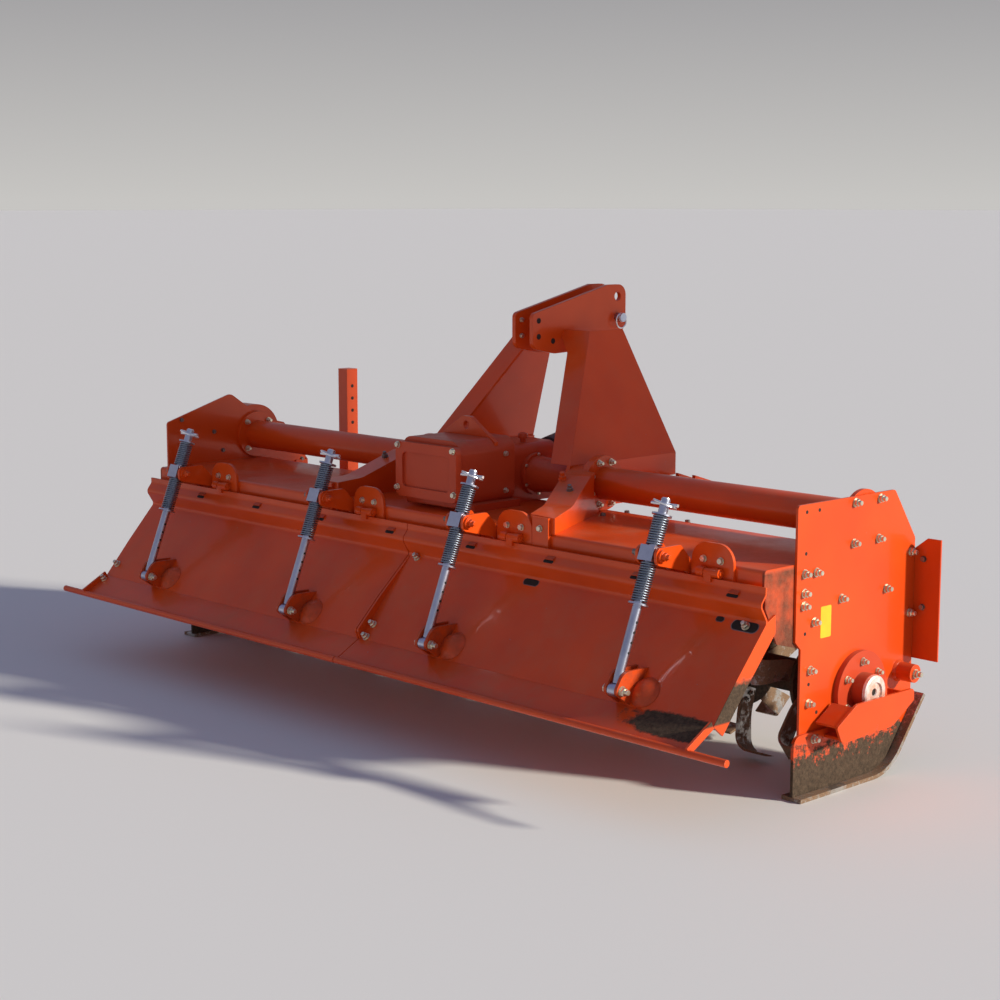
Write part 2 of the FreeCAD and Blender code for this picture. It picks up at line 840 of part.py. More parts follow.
def tilted(shape, x, distance):
    """Piece drawn along +Z at the origin, set on its rod at a distance above the lug pin."""
    placed = shape.copy()
    placed.translate(vector(0, 0, distance))
    placed.rotate(vector(0, 0, 0), xAxis, -rodTilt)
    placed.translate(vector(x, lugY, lugZ))
    return placed


def boardLug(x):
    ears = []
    foot = vector(0, boardMidY, boardMidZ)
    low = vector(0, boardLowY, boardLowZ)
    along = (low - foot).normalize()
    for side in (-1, 1):
        x0 = x + side * (lugGap / 2) - (lugEar if side < 0 else 0)
        base = vector(0, lugY, lugZ)
        nearPoint = foot + along * ((base - foot).dot(along))
        outward = (base - nearPoint).normalize()
        skin = nearPoint + outward * plateGap
        corners = [
            skin - along * lugBase, skin + along * 14, base + along * lugRim + outward * lugRim,
            base - along * 46 + outward * (lugRim + 8),
        ]
        wire = roundedWire([vector(x0, c.y, c.z) for c in corners], [0, 0, 18, 46])
        ears.append(Part.Face(wire).extrude(vector(lugEar, 0, 0)))
    pin = rodX(x - lugGap / 2 - lugEar - 6, x + lugGap / 2 + lugEar + 6, lugY, lugZ, lugPin)
    base = low - along * domeUp + outward * plateGap
    base.x = x + domeAside
    ball = Part.makeSphere(domeRadius, base - outward * (domeRadius - domeHeight))
    above = Part.makeBox(4 * domeRadius, 4 * domeRadius, domeRadius, vector(-2 * domeRadius, -2 * domeRadius, 0))
    above.Placement = FreeCAD.Placement(base, FreeCAD.Rotation(vector(0, 0, 1), outward)) * above.Placement
    return fuseAll(ears + [pin, ball.common(above)])


# Rods, blocks and springs

def springRod(x):
    shank = Part.makeCylinder(rodRadius, rodSpan + rodAbove - 18, vector(0, 0, 18))
    eye = Part.makeCylinder(rodEye, lugGap - 4, vector(-lugGap / 2 + 2, 0, 0), xAxis)
    body = fuseAll([shank, eye]).cut(
        Part.makeCylinder(lugPin + 0.5, lugGap, vector(-lugGap / 2, 0, 0), xAxis))
    collars = [
        Part.makeCylinder(collarRadius, collarThick, vector(0, 0, rodSpan - swivelHalf - lowerSpring - collarThick)),
        Part.makeCylinder(collarRadius, collarThick, vector(0, 0, rodSpan + swivelHalf + upperSpring)),
    ]
    return tilted(fuseAll([body] + collars), x, 0)


def swivelBlock(x):
    body = block(-swivelWidth / 2, swivelWidth / 2, -swivelDepth / 2, swivelDepth / 2, -swivelHalf, swivelHalf)
    pins = Part.makeCylinder(swivelPin, swivelWidth + 44, vector(-swivelWidth / 2 - 22, 0, 0), xAxis)
    bore = Part.makeCylinder(swivelBore, 2 * swivelHalf + 2, vector(0, 0, -swivelHalf - 1))
    return tilted(fuseAll([body, pins]).cut(bore), x, rodSpan)


def springSleeve(x, start, length):
    outer = Part.makeCylinder(springRadius, length)
    return tilted(outer.cut(Part.makeCylinder(springBore, length)), x, start)


blockY = lugY + rodSpan * math.sin(math.radians(rodTilt))
blockZ = lugZ + rodSpan * math.cos(math.radians(rodTilt))


def swivelBracket(x):
    plates = []
    for side in (-1, 1):
        inner = x + side * (swivelWidth / 2 + 4)
        x0 = inner if side > 0 else inner - swivelPlate
        outline = [
            (hoodRearY, hoodZ - 48),
            (hoodRearY, hoodZ),
            (blockY + 0.65 * (hoodRearY - blockY), blockZ + swivelRim),
            (blockY - swivelRim, blockZ + swivelRim),
            (blockY - swivelRim, blockZ - swivelRim),
            (hoodRearY - 18, hoodZ - 36),
        ]
        plate = plateX(outline, x0, swivelPlate, [0, 0, 14, 20, 20, 10])
        plates.append(plate.cut(rodX(x0 - 1, x0 + swivelPlate + 1, blockY, blockZ, swivelPin + 0.4)))
    return plates


# Board hinges, each set a fixed way to the right of its rod

hingeOffset = 132.0
hingeHalf = 78.0
hingeRise = 58.0
hingeFoot = 50.0
hingeRound = 56.0
hingeThick = 10.0
hingeEyeClear = 2.0


def hingeCarrier(x):
    """Round-topped plate on the hood's rear drop, with two hinge eyes and the pin."""
    outline = [
        (x - hingeHalf, hoodZ - hingeFoot), (x + hingeHalf, hoodZ - hingeFoot),
        (x + hingeHalf, hoodZ + hingeRise), (x - hingeHalf, hoodZ + hingeRise),
    ]
    leaf = plateY(outline, hoodRearY - hingeThick, hingeThick, [0, 0, hingeRound, hingeRound])
    eyes = []
    third = hingeLength / 3
    for x0 in (x - hingeLength / 2, x + third / 2):
        eyes.append(rodX(x0, x0 + third - 0.5, hingeY, hingeZ, hingeEye))
    pin = rodX(x - hingeLength / 2 - 3, x + hingeLength / 2 + 3, hingeY, hingeZ, hingePin)
    return fuseAll([leaf] + eyes + [pin])


def hingeLeaf(x):
    third = hingeLength / 3
    eye = rodX(x - third / 2 + 0.5, x + third / 2 - 0.5, hingeY, hingeZ, hingeEye - hingeEyeClear)
    tongue = block(
        x - third / 2 + 0.5, x + third / 2 - 0.5, boardTopY - 8, boardTopY,
        boardTopZ - boardUpright + 10, hingeZ)
    body = fuseAll([eye, tongue])
    return body.cut(rodX(x - third, x + third, hingeY, hingeZ, hingePin + 0.3))


# Parking stand

def standPost():
    foot = block(
        standX - standFootHalf, standX + standFootHalf, standY - standFootHalf, standY + standFootHalf,
        standFoot, standFoot + standFootThick)
    post = block(
        standX - standHalf, standX + standHalf, standY - standHalf, standY + standHalf,
        standFoot + standFootThick, standTop)
    return fuseAll([foot, post])


standOuter = standHalf + standWall
sleeveTop = standSleeveZ + standSleeve


def standSleevePiece():
    inner = standHalf + standClear
    sleeve = block(
        standX - standOuter, standX + standOuter, standY - standOuter, standY + standOuter,
        standSleeveZ, sleeveTop)
    return sleeve.cut(block(
        standX - inner, standX + inner, standY - inner, standY + inner, standSleeveZ - 1, sleeveTop + 1))


def standArm():
    outline = [
        (hoodFrontY + plateGap, standSleeveZ + 30), (standY - standOuter, standSleeveZ + 10),
        (standY - standOuter, sleeveTop - 10), (hoodFrontY + plateGap, hoodFrontZ - 20),
    ]
    return plateX(outline, standX - 6, 12)


rodStart = rodSpan - swivelHalf - lowerSpring
parts = {
    "beam_right": [beamRight],
    "beam_left": [beamLeft],
    "shoulder_right": [shoulderRight],
    "shoulder_left": [shoulderLeft],
    "hitch_bar": [hitchBar],
    "mast_leg_right": [mastLeg()],
    "mast_leg_left": [mirrored(mastLeg())],
    "top_link_plate_right": [linkPlate(linkPlateX)],
    "top_link_plate_left": [linkPlate(-linkPlateX - linkPlateThick)],
    "top_link_pin": [rodX(
        -linkPlateX - linkPlateThick - 22, linkPlateX + linkPlateThick + 30,
        linkHoleY, linkHoleZ - linkHoleStep, linkPinRadius)],
    "gearbox_housing": [gearbox()],
    "gearbox_cover": [gearboxCover()],
    "axle_trumpets": [trumpet(), mirrored(trumpet())],
    "lifting_eye": [liftingEye(gearbox())],
    "hood_top": [hoodTop()],
    "hood_front": [hoodFront()],
    "side_plate_right": [sidePlateRight()],
    "side_plate_left": [sidePlateLeft()],
    "drive_case": [driveCase()],
    "drive_covers": driveCover(),
    "bearing_housing": [bearingHousing()],
    "hub_guard": [hubGuard()],
    "skid_soles": [skidSole(workHalf - skidInside), mirrored(skidSole(workHalf - skidInside))],
    "skid_webs": [skidWeb(workHalf), skidWeb(-plateInner)],
    "edge_angles": [edgeAngle(), mirrored(edgeAngle())],
    "hitch_plates": hitchPlates() + [mirrored(p) for p in hitchPlates()],
    "hitch_pins": [hitchPin(), mirrored(hitchPin())],
    "rotor_shaft": [rotorShaft()],
    "tines": tines(),
    "input_shaft": [inputShaft()],
    "board_right": [boardPanel()],
    "board_left": [mirrored(boardPanel())],
    "lip_right": [lipStrip()],
    "lip_left": [mirrored(lipStrip())],
    "board_lugs": [boardLug(x) for x in rodXs],
    "hinge_carriers": [hingeCarrier(x + hingeOffset) for x in rodXs],
    "hinge_leaves": [hingeLeaf(x + hingeOffset) for x in rodXs],
    "swivel_brackets": [p for x in rodXs for p in swivelBracket(x)],
    "spring_rods": [springRod(x) for x in rodXs],
    "swivel_blocks": [swivelBlock(x) for x in rodXs],
    "springs_lower": [springSleeve(x, rodStart, lowerSpring) for x in rodXs],
    "springs_upper": [springSleeve(x, rodSpan + swivelHalf, upperSpring) for x in rodXs],
    "stand_post": [standPost()],
    "stand_sleeve": [standSleevePiece()],
    "stand_arm": [standArm()],
}

# The frame's origin is under the middle of the machine's length, between lip bar and hitch.
frontEnd = max(linkHoleY + linkRim, hitchY + hitchRim)
rearEnd = lipY - lipBar
shiftY = -(frontEnd + rearEnd) / 2

os.makedirs("parts", exist_ok=True)
for name, solids in parts.items():
    shape = Part.makeCompound(solids) if len(solids) > 1 else solids[0]
    shape.translate(vector(0, shiftY, 0))
    shape.exportStep("parts/" + name + ".step")
    box = shape.BoundBox
    print(name, len(shape.Solids), round(box.XMin), round(box.XMax), round(box.YMin), round(box.YMax),
          round(box.ZMin), round(box.ZMax), shape.isValid())
print("shift", shiftY)
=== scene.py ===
import bpy
import bmesh
import math
from mathutils import Matrix, Vector


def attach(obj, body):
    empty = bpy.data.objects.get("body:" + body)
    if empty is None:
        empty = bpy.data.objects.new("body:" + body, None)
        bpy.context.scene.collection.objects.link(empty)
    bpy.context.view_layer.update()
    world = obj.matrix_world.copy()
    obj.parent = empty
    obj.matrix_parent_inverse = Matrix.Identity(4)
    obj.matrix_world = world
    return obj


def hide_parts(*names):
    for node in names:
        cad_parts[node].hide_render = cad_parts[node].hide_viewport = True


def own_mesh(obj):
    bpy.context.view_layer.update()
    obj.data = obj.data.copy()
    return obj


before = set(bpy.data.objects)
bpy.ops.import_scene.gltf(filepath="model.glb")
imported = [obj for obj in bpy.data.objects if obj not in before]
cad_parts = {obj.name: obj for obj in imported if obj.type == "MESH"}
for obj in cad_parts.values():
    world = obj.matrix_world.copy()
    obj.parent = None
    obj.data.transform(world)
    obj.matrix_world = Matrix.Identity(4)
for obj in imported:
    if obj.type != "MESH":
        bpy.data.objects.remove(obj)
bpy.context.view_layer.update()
print("frame loaded")

# camera: behind the tiller and to its right, at eye level
cameraSet = {
    "place": (4.894, -4.581, 1.712),
    "heading": 46.47,   # degrees left of the direction of travel
    "dip": 8.66,
    "lens": 70.8,
}


def addCamera(s):
    data = bpy.data.cameras.new("camera")
    data.lens = s["lens"]
    data.sensor_width = 36
    camera = bpy.data.objects.new("camera", data)
    camera.location = s["place"]
    camera.rotation_euler = (math.radians(90 - s["dip"]), 0, math.radians(s["heading"]))
    bpy.context.scene.collection.objects.link(camera)
    bpy.context.scene.camera = camera


addCamera(cameraSet)

# studio: pale floor, soft key from the right, pale sky that the gloss paint mirrors
studio = {
    "floorColor": (0.74, 0.73, 0.71, 1),
    "floorSize": 600,
    "floorHeight": -0.001,
    "floorRough": 0.7,
    "floorSpecular": 0.1,
    "skyLow": (0.95, 0.93, 0.90, 1),
    "skyBand": (0.55, 0.54, 0.56, 1),
    "skyHigh": (0.34, 0.37, 0.58, 1),
    "skyStops": (0.12, 0.6),
    "skyPower": 0.60,
    "sunPower": 4.9,
    "sunColor": (1.0, 0.95, 0.82),
    "sunSoft": 4.5,
    "sunFrom": (0.83, 0.41, 0.37),
    "cardAim": (0.14, 0.445, 1.18),
    "cardAway": 3.0,
    "cardSize": (1.50, 1.10),
}


def addStudio(s):
    bpy.ops.mesh.primitive_plane_add(size=s["floorSize"], location=(0, 0, s["floorHeight"]))
    floor = bpy.context.object
    floor.name = "floor"
    floorMat = bpy.data.materials.new("floorPaint")
    floorMat.use_nodes = True
    shader = floorMat.node_tree.nodes["Principled BSDF"]
    shader.inputs["Base Color"].default_value = s["floorColor"]
    shader.inputs["Roughness"].default_value = s["floorRough"]
    shader.inputs["Specular IOR Level"].default_value = s["floorSpecular"]
    floor.data.materials.append(floorMat)

    world = bpy.data.worlds.new("softSky")
    bpy.context.scene.world = world
    world.use_nodes = True
    tree = world.node_tree
    back = tree.nodes["Background"]
    coords = tree.nodes.new("ShaderNodeTexCoord")
    split = tree.nodes.new("ShaderNodeSeparateXYZ")
    ramp = tree.nodes.new("ShaderNodeValToRGB")
    ramp.color_ramp.elements[0].color = s["skyLow"]
    ramp.color_ramp.elements[1].color = s["skyHigh"]
    ramp.color_ramp.elements[1].position = s["skyStops"][1]
    ramp.color_ramp.elements.new(s["skyStops"][0]).color = s["skyBand"]
    tree.links.new(coords.outputs["Generated"], split.inputs[0])
    tree.links.new(split.outputs["Z"], ramp.inputs["Fac"])
    tree.links.new(ramp.outputs["Color"], back.inputs["Color"])
    back.inputs["Strength"].default_value = s["skyPower"]

    sunData = bpy.data.lights.new("sun", "SUN")
    sunData.energy = s["sunPower"]
    sunData.color = s["sunColor"]
    sunData.angle = math.radians(s["sunSoft"])
    sun = bpy.data.objects.new("sun", sunData)
    sunWay = Vector(s["sunFrom"])
    turn = sunWay.to_track_quat("Z", "Y")
    sun.rotation_euler = turn.to_euler()
    bpy.context.scene.collection.objects.link(sun)

    # card beside the view that keeps the sun off the mast
    bpy.ops.mesh.primitive_plane_add(size=1)
    card = bpy.context.object
    card.name = "shadeCard"
    card.data.materials.append(floorMat)
    card.matrix_world = (Matrix.Translation(Vector(s["cardAim"]) + sunWay * s["cardAway"])
                         @ turn.to_matrix().to_4x4() @ Matrix.Diagonal((*s["cardSize"], 1, 1)))
    card.visible_camera = False
    card.visible_glossy = False
    card.visible_diffuse = False


addStudio(studio)
bpy.context.scene.view_settings.view_transform = "Standard"   # keeps the strong orange
print("camera and studio set")


# node helpers for the finishes
def newMat(name):
    mat = bpy.data.materials.new(name)
    mat.use_nodes = True
    return mat, mat.node_tree, mat.node_tree.nodes["Principled BSDF"]


def noise(tree, coords, scale, detail=4.0, rough=0.6):
    node = tree.nodes.new("ShaderNodeTexNoise")
    node.inputs["Scale"].default_value = scale
    node.inputs["Detail"].default_value = detail
    node.inputs["Roughness"].default_value = rough
    tree.links.new(coords, node.inputs["Vector"])
    return node.outputs["Fac"]


def ramp(tree, value, low, high, top=1.0):
    node = tree.nodes.new("ShaderNodeMapRange")
    node.inputs["From Min"].default_value = low
    node.inputs["From Max"].default_value = high
    node.inputs["To Max"].default_value = top
    tree.links.new(value, node.inputs["Value"])
    return node.outputs["Result"]


def calc(tree, kind, a, b=None):
    node = tree.nodes.new("ShaderNodeMath")
    node.operation = kind
    for i, v in enumerate((a, b)):
        if v is None:
            continue
        if isinstance(v, (int, float)):
            node.inputs[i].default_value = v
        else:
            tree.links.new(v, node.inputs[i])
    return node.outputs[0]


def times(tree, a, b):
    return calc(tree, "MULTIPLY", a, b)


def plus(tree, a, b):
    return calc(tree, "ADD", a, b)


def blendColor(tree, fac, a, b):
    node = tree.nodes.new("ShaderNodeMix")
    node.data_type = "RGBA"
    for socket, v in (("Factor", fac), ("A", a), ("B", b)):
        kind = "VALUE" if socket == "Factor" else "RGBA"
        place = [i for i in node.inputs if i.name == socket and i.type == kind][0]
        if isinstance(v, (int, float, tuple)):
            place.default_value = v
        else:
            tree.links.new(v, place)
    return [o for o in node.outputs if o.type == "RGBA"][0]


def splitAxes(tree, vector):
    split = tree.nodes.new("ShaderNodeSeparateXYZ")
    tree.links.new(vector, split.inputs[0])
    return split.outputs


def objectCoords(tree):
    return tree.nodes.new("ShaderNodeTexCoord").outputs["Object"]


def facing(tree):
    # how far a surface faces up, in the piece's own axes
    return splitAxes(tree, tree.nodes.new("ShaderNodeTexCoord").outputs["Normal"])["Z"]


paintSet = {
    "color": (0.78, 0.080, 0.006, 1),
    "deep": (0.62, 0.058, 0.005, 1),
    "dust": (0.36, 0.21, 0.12, 1),
    "soil": (0.040, 0.026, 0.017, 1),
    "clod": (0.120, 0.078, 0.050, 1),
    "chip": (0.30, 0.26, 0.24, 1),
    "rough": 0.26,
    "specular": 0.26,
    "coat": 0.25,
    "coatRough": 0.08,
    "broadScale": 2.2,
    "fineScale": 46.0,
    "gritScale": 85.0,
    "dustScale": 7.0,
    "chipScale": 120.0,
    "deepLimits": (0.35, 0.7),
    "dustFacing": (0.25, 0.95),
    "dustLimits": (0.42, 0.72),
    "chipLimits": (0.735, 0.75, 0.75),
    "chipPatches": (0.52, 0.6),
    "clodLimits": (0.35, 0.75),
    "bumpStrength": 0.5,
    "bumpDistance": 0.003,
    "edgeRadius": 0.0022,
}


def paintMat(name, s, soilTop=0.16, soilAmount=0.5, dustAmount=0.35, patch=None, edge=True):
    mat, tree, shader = newMat(name)
    coords = objectCoords(tree)
    axes = splitAxes(tree, coords)
    broad = noise(tree, coords, s["broadScale"], 3.0)
    fine = noise(tree, coords, s["fineScale"], 5.0, 0.7)
    grit = noise(tree, coords, s["gritScale"], 6.0, 0.75)
    base = blendColor(tree, ramp(tree, broad, *s["deepLimits"]), s["color"], s["deep"])
    # dust lies on what faces up, in patches
    dust = times(tree, ramp(tree, facing(tree), *s["dustFacing"], dustAmount),
                ramp(tree, noise(tree, coords, s["dustScale"], 6.0, 0.75), *s["dustLimits"]))
    # soil splashed up from the ground
    height = ramp(tree, axes["Z"], soilTop * 1.9, 0.0)
    splash = plus(tree, times(tree, height, 0.9), times(tree, fine, 0.85))
    soil = ramp(tree, splash, 1.05 - 0.35 * soilAmount, 1.13 - 0.30 * soilAmount)
    # a patch adds more of the soil colour; for the hood and the lugs this is painted shade
    if patch:
        soil = calc(tree, "MAXIMUM", soil, patch(tree, coords, axes, fine))
    color = blendColor(tree, dust, base, s["dust"])
    chips = times(tree, ramp(tree, noise(tree, coords, s["chipScale"], 2.0), *s["chipLimits"]),
                 ramp(tree, noise(tree, coords, 5.0, 2.0), *s["chipPatches"]))
    color = blendColor(tree, chips, color, s["chip"])
    clump = blendColor(tree, ramp(tree, grit, *s["clodLimits"]), s["soil"], s["clod"])
    color = blendColor(tree, soil, color, clump)
    tree.links.new(color, shader.inputs["Base Color"])
    roughness = plus(tree, s["rough"], times(tree, fine, 0.12))
    roughness = plus(tree, roughness, times(tree, dust, 0.6))
    roughness = calc(tree, "MINIMUM", plus(tree, roughness, times(tree, soil, 0.6)), 0.95)
    tree.links.new(roughness, shader.inputs["Roughness"])
    coat = times(tree, calc(tree, "SUBTRACT", 1.0, calc(tree, "MAXIMUM", soil, dust)), s["coat"])
    tree.links.new(coat, shader.inputs["Coat Weight"])
    shader.inputs["Coat Roughness"].default_value = s["coatRough"]
    shader.inputs["Specular IOR Level"].default_value = s["specular"]
    bump = tree.nodes.new("ShaderNodeBump")
    bump.inputs["Strength"].default_value = s["bumpStrength"]
    bump.inputs["Distance"].default_value = s["bumpDistance"]
    # slight waves of rolled sheet, and the grain of the soil
    relief = plus(tree, times(tree, broad, 0.35),
                  times(tree, times(tree, soil, grit), 2.2))
    tree.links.new(relief, bump.inputs["Height"])
    if edge:
        soft = tree.nodes.new("ShaderNodeBevel")
        soft.samples = 4
        soft.inputs["Radius"].default_value = s["edgeRadius"]
        tree.links.new(soft.outputs["Normal"], bump.inputs["Normal"])
    tree.links.new(bump.outputs["Normal"], shader.inputs["Normal"])
    return mat


def metalMat(name, color, second, rough, metallic=1.0, scale=60.0, soil=0.0, bumpy=0.25):
    mat, tree, shader = newMat(name)
    coords = objectCoords(tree)
    cloud = noise(tree, coords, scale * 0.25, 5.0, 0.7)
    fine = noise(tree, coords, scale * 4, 4.0, 0.7)
    base = blendColor(tree, ramp(tree, cloud, 0.35, 0.68), color, second)
    roughness = plus(tree, rough - 0.08, times(tree, fine, 0.2))
    if soil > 0:
        spread = plus(tree, noise(tree, coords, 11.0, 6.0, 0.75), times(tree, fine, 0.12))
        mask = ramp(tree, spread, 0.66 - 0.3 * soil, 0.72 - 0.3 * soil)
        base = blendColor(tree, mask, base, blendColor(tree, fine, paintSet["soil"], paintSet["dust"]))
        metal = times(tree, calc(tree, "SUBTRACT", 1.0, mask), metallic)
        roughness = calc(tree, "MAXIMUM", roughness, times(tree, mask, 0.92))
        fine = plus(tree, fine, times(tree, mask, 2.0))
        tree.links.new(metal, shader.inputs["Metallic"])
    else:
        shader.inputs["Metallic"].default_value = metallic
    tree.links.new(base, shader.inputs["Base Color"])
    tree.links.new(roughness, shader.inputs["Roughness"])
    bump = tree.nodes.new("ShaderNodeBump")
    bump.inputs["Strength"].default_value = bumpy
    bump.inputs["Distance"].default_value = 0.001
    tree.links.new(fine, bump.inputs["Height"])
    tree.links.new(bump.outputs["Normal"], shader.inputs["Normal"])
    return mat


# limits between which the board's mud comes and goes
boardMud = {
    "lipTop": (0.325, 0.285),
    "lipFoot": (0.238, 0.262),
    "lipLength": (1.02, 1.34),
    "lipEnd": (1.508, 1.506),
    "ragged": (1.20, 1.36),
    "endFace": (1.5165, 1.5172),
    "endTop": (0.425, 0.410),
    "endFoot": (0.290, 0.296),
}


def boardPatch(tree, coords, axes, fine):
    s = boardMud
    # mud left on the lip's right end
    band = times(tree, ramp(tree, axes["Z"], *s["lipTop"]), ramp(tree, axes["Z"], *s["lipFoot"]))
    mass = times(tree, ramp(tree, axes["X"], *s["lipLength"]), band)
    ragged = plus(tree, mass, times(tree, noise(tree, coords, 13.0, 6.0, 0.7), 0.9))
    ragged = plus(tree, ragged, times(tree, fine, 0.35))
    lip = times(tree, ramp(tree, ragged, *s["ragged"]), ramp(tree, axes["X"], *s["lipEnd"]))
    # the lower half of the right end flange
    ends = ramp(tree, axes["X"], *s["endFace"])
    low = ramp(tree, plus(tree, axes["Z"], times(tree, fine, 0.04)), *s["endTop"])
    low = times(tree, low, ramp(tree, axes["Z"], *s["endFoot"]))
    return calc(tree, "MAXIMUM", lip, times(tree, ends, low))


def lugShadePatch(tree, coords, axes, fine):
    # painted shade, in a soil colour, round the feet of the rods
    cloud = noise(tree, coords, 24.0, 5.0, 0.7)
    return ramp(tree, plus(tree, cloud, times(tree, fine, 0.2)), 0.40, 0.90, 0.55)


def hoodSoilAndShadePatch(tree, coords, axes, fine):
    # soil colour painted on the hood's ends behind the side plates: partly soil, partly painted shade where
    # those ends lie in shadow
    ends = ramp(tree, calc(tree, "ABSOLUTE", axes["X"]), 1.482, 1.486)
    under = ramp(tree, axes["Z"], 0.690, 0.676)
    both = times(tree, ends, under)
    return times(tree, both, ramp(tree, noise(tree, coords, 9.0, 5.0), 0.20, 0.55, 0.86))


sheetPaint = paintMat("sheetPaint", paintSet)
boardPaint = paintMat("boardPaint", paintSet, soilTop=0.20, soilAmount=0.25, dustAmount=0.30,
                      patch=boardPatch)
# the lugs' paint carries painted shade, in a soil colour, round the rods' feet
lugPaint = paintMat("lugPaint", paintSet, dustAmount=0.3, patch=lugShadePatch)
# the hood's paint carries painted shade, in a soil colour, on its ends behind the side plates
hoodPaint = paintMat("hoodPaint", paintSet, dustAmount=0.30, patch=hoodSoilAndShadePatch)
castSet = dict(paintSet, color=(0.62, 0.065, 0.016, 1), deep=(0.50, 0.05, 0.013, 1), rough=0.38, coat=0.15)
castPaint = paintMat("castPaint", castSet, dustAmount=0.55)
rotorSet = dict(paintSet, color=(0.36, 0.06, 0.025, 1), coat=0.05, rough=0.6)
rotorPaint = paintMat("rotorPaint", rotorSet, soilTop=0.5, soilAmount=0.9, edge=False)
zincSteel = metalMat("zincSteel", (0.58, 0.61, 0.74, 1), (0.44, 0.47, 0.60, 1), 0.30)
boltZinc = metalMat("boltZinc", (0.80, 0.74, 0.58, 1), (0.62, 0.57, 0.46, 1), 0.34)
springSteel = metalMat("springSteel", (0.27, 0.31, 0.37, 1), (0.17, 0.20, 0.25, 1), 0.36)
bareSteel = metalMat("bareSteel", (0.56, 0.56, 0.57, 1), (0.40, 0.39, 0.38, 1), 0.28)
hubMetal = metalMat("hubMetal", (0.90, 0.86, 0.84, 1), (0.72, 0.38, 0.22, 1), 0.42,
                    metallic=0.6, scale=110.0)
bladeSteel = metalMat("bladeSteel", (0.50, 0.48, 0.46, 1), (0.30, 0.27, 0.25, 1), 0.40, soil=0.62)
soleSteel = metalMat("soleSteel", (0.46, 0.44, 0.42, 1), (0.32, 0.27, 0.23, 1), 0.45, soil=0.5)
stickerFilm = metalMat("stickerFilm", (0.86, 0.52, 0.015, 1), (0.80, 0.42, 0.012, 1), 0.34,
                       metallic=0.0, bumpy=0.1)
blackPlastic = metalMat("blackPlastic", (0.030, 0.030, 0.032, 1), (0.045, 0.043, 0.04, 1), 0.45,
                        metallic=0.0)
# flat near-black discs and plugs laid on surfaces: painted shade standing for the inside of holes and slots
paintedHoleShade = metalMat("paintedHoleShade", (0.012, 0.008, 0.007, 1), (0.02, 0.012, 0.009, 1), 0.85, metallic=0.0)
dullBolt = metalMat("dullBolt", (0.30, 0.27, 0.25, 1), (0.20, 0.16, 0.14, 1), 0.45)
brightPin = metalMat("brightPin", (0.92, 0.92, 0.93, 1), (0.82, 0.82, 0.84, 1), 0.34)

finish = {
    "sheet": (sheetPaint, "orange_paint"),
    "board": (boardPaint, "orange_paint"),
    "hood": (hoodPaint, "orange_paint"),
    "lug": (lugPaint, "orange_paint"),
    "cast": (castPaint, "painted_cast_iron"),
    "zinc": (zincSteel, "zinc_steel"),
    "bolt": (boltZinc, "zinc_steel"),
    "spring": (springSteel, "spring_steel"),
    "bare": (bareSteel, "bare_steel"),
    "hub": (hubMetal, "worn_cast_iron"),
    "blade": (bladeSteel, "worn_steel"),
    "sole": (soleSteel, "worn_steel"),
    "rotor": (rotorPaint, "soil_worn_paint"),
    "film": (stickerFilm, "yellow_film"),
    "plastic": (blackPlastic, "grey_plastic"),
    # hole: painted shade inside holes and slots
    "hole": (paintedHoleShade, "grey_plastic"),
    "dull": (dullBolt, "zinc_steel"),
    "tongue": (castPaint, "orange_paint"),
    "pin": (brightPin, "zinc_steel"),
}

nodeFinish = {
    "gearbox_housing": "cast", "gearbox_cover": "cast", "axle_trumpets": "cast", "drive_covers": "cast",
    "hood_top": "hood", "bearing_housing": "cast", "skid_soles": "sole", "hitch_pins": "zinc",
    "top_link_pin": "zinc", "rotor_shaft": "rotor", "tines": "blade", "input_shaft": "bare",
    "board_right": "board", "board_left": "board", "lip_right": "board", "lip_left": "board",
    "board_lugs": "lug", "hinge_leaves": "board", "spring_rods": "zinc", "swivel_blocks": "zinc",
    "springs_lower": "spring", "springs_upper": "spring",
}
for name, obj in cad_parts.items():
    mat = finish[nodeFinish.get(name, "sheet")][0]
    for slot in obj.material_slots:
        slot.material = mat
print("finishes on the solids:", len(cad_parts))


# making pieces
def piece(name, bm, body, kind, smooth=40, solids=()):
    bmesh.ops.recalc_face_normals(bm, faces=bm.faces)
    mesh = bpy.data.meshes.new(name)
    bm.to_mesh(mesh)
    bm.free()
    obj = bpy.data.objects.new(name, mesh)
    bpy.context.scene.collection.objects.link(obj)
    mat, slot = finish[kind]
    mesh.materials.append(mat)
    if smooth:
        mesh.shade_smooth()
        mesh.set_sharp_from_angle(angle=math.radians(smooth))
    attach(obj, body)
    if solids:
        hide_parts(*solids)
    return obj


def aim(place, direction, roll=0.0):
    # matrix that carries +Z to a direction at a place
    turn = Vector(direction).normalized().to_track_quat("Z", "Y").to_matrix().to_4x4()
    return Matrix.Translation(Vector(place)) @ turn @ Matrix.Rotation(roll, 4, "Z")


def disc(bm, m, radius, low, high, segments=20, topRadius=None):
    top = radius if topRadius is None else topRadius
    shift = Matrix.Translation((0, 0, (low + high) / 2))
    bmesh.ops.create_cone(bm, cap_ends=True, segments=segments, radius1=radius, radius2=top,
                          depth=high - low, matrix=m @ shift)


# a bolt's discs for a size of one: radius, low, high, sides, upper radius
boltDiscs = {
    "head": ((1.16, 0.0, 0.18, 18, 1.16), (1.0, 0.15, 0.95, 6, 1.0), (1.0, 0.95, 1.08, 6, 0.88)),
    "stud": ((0.62, 1.0, 1.85, 14, 0.62), (0.62, 1.85, 1.95, 14, 0.52)),
}


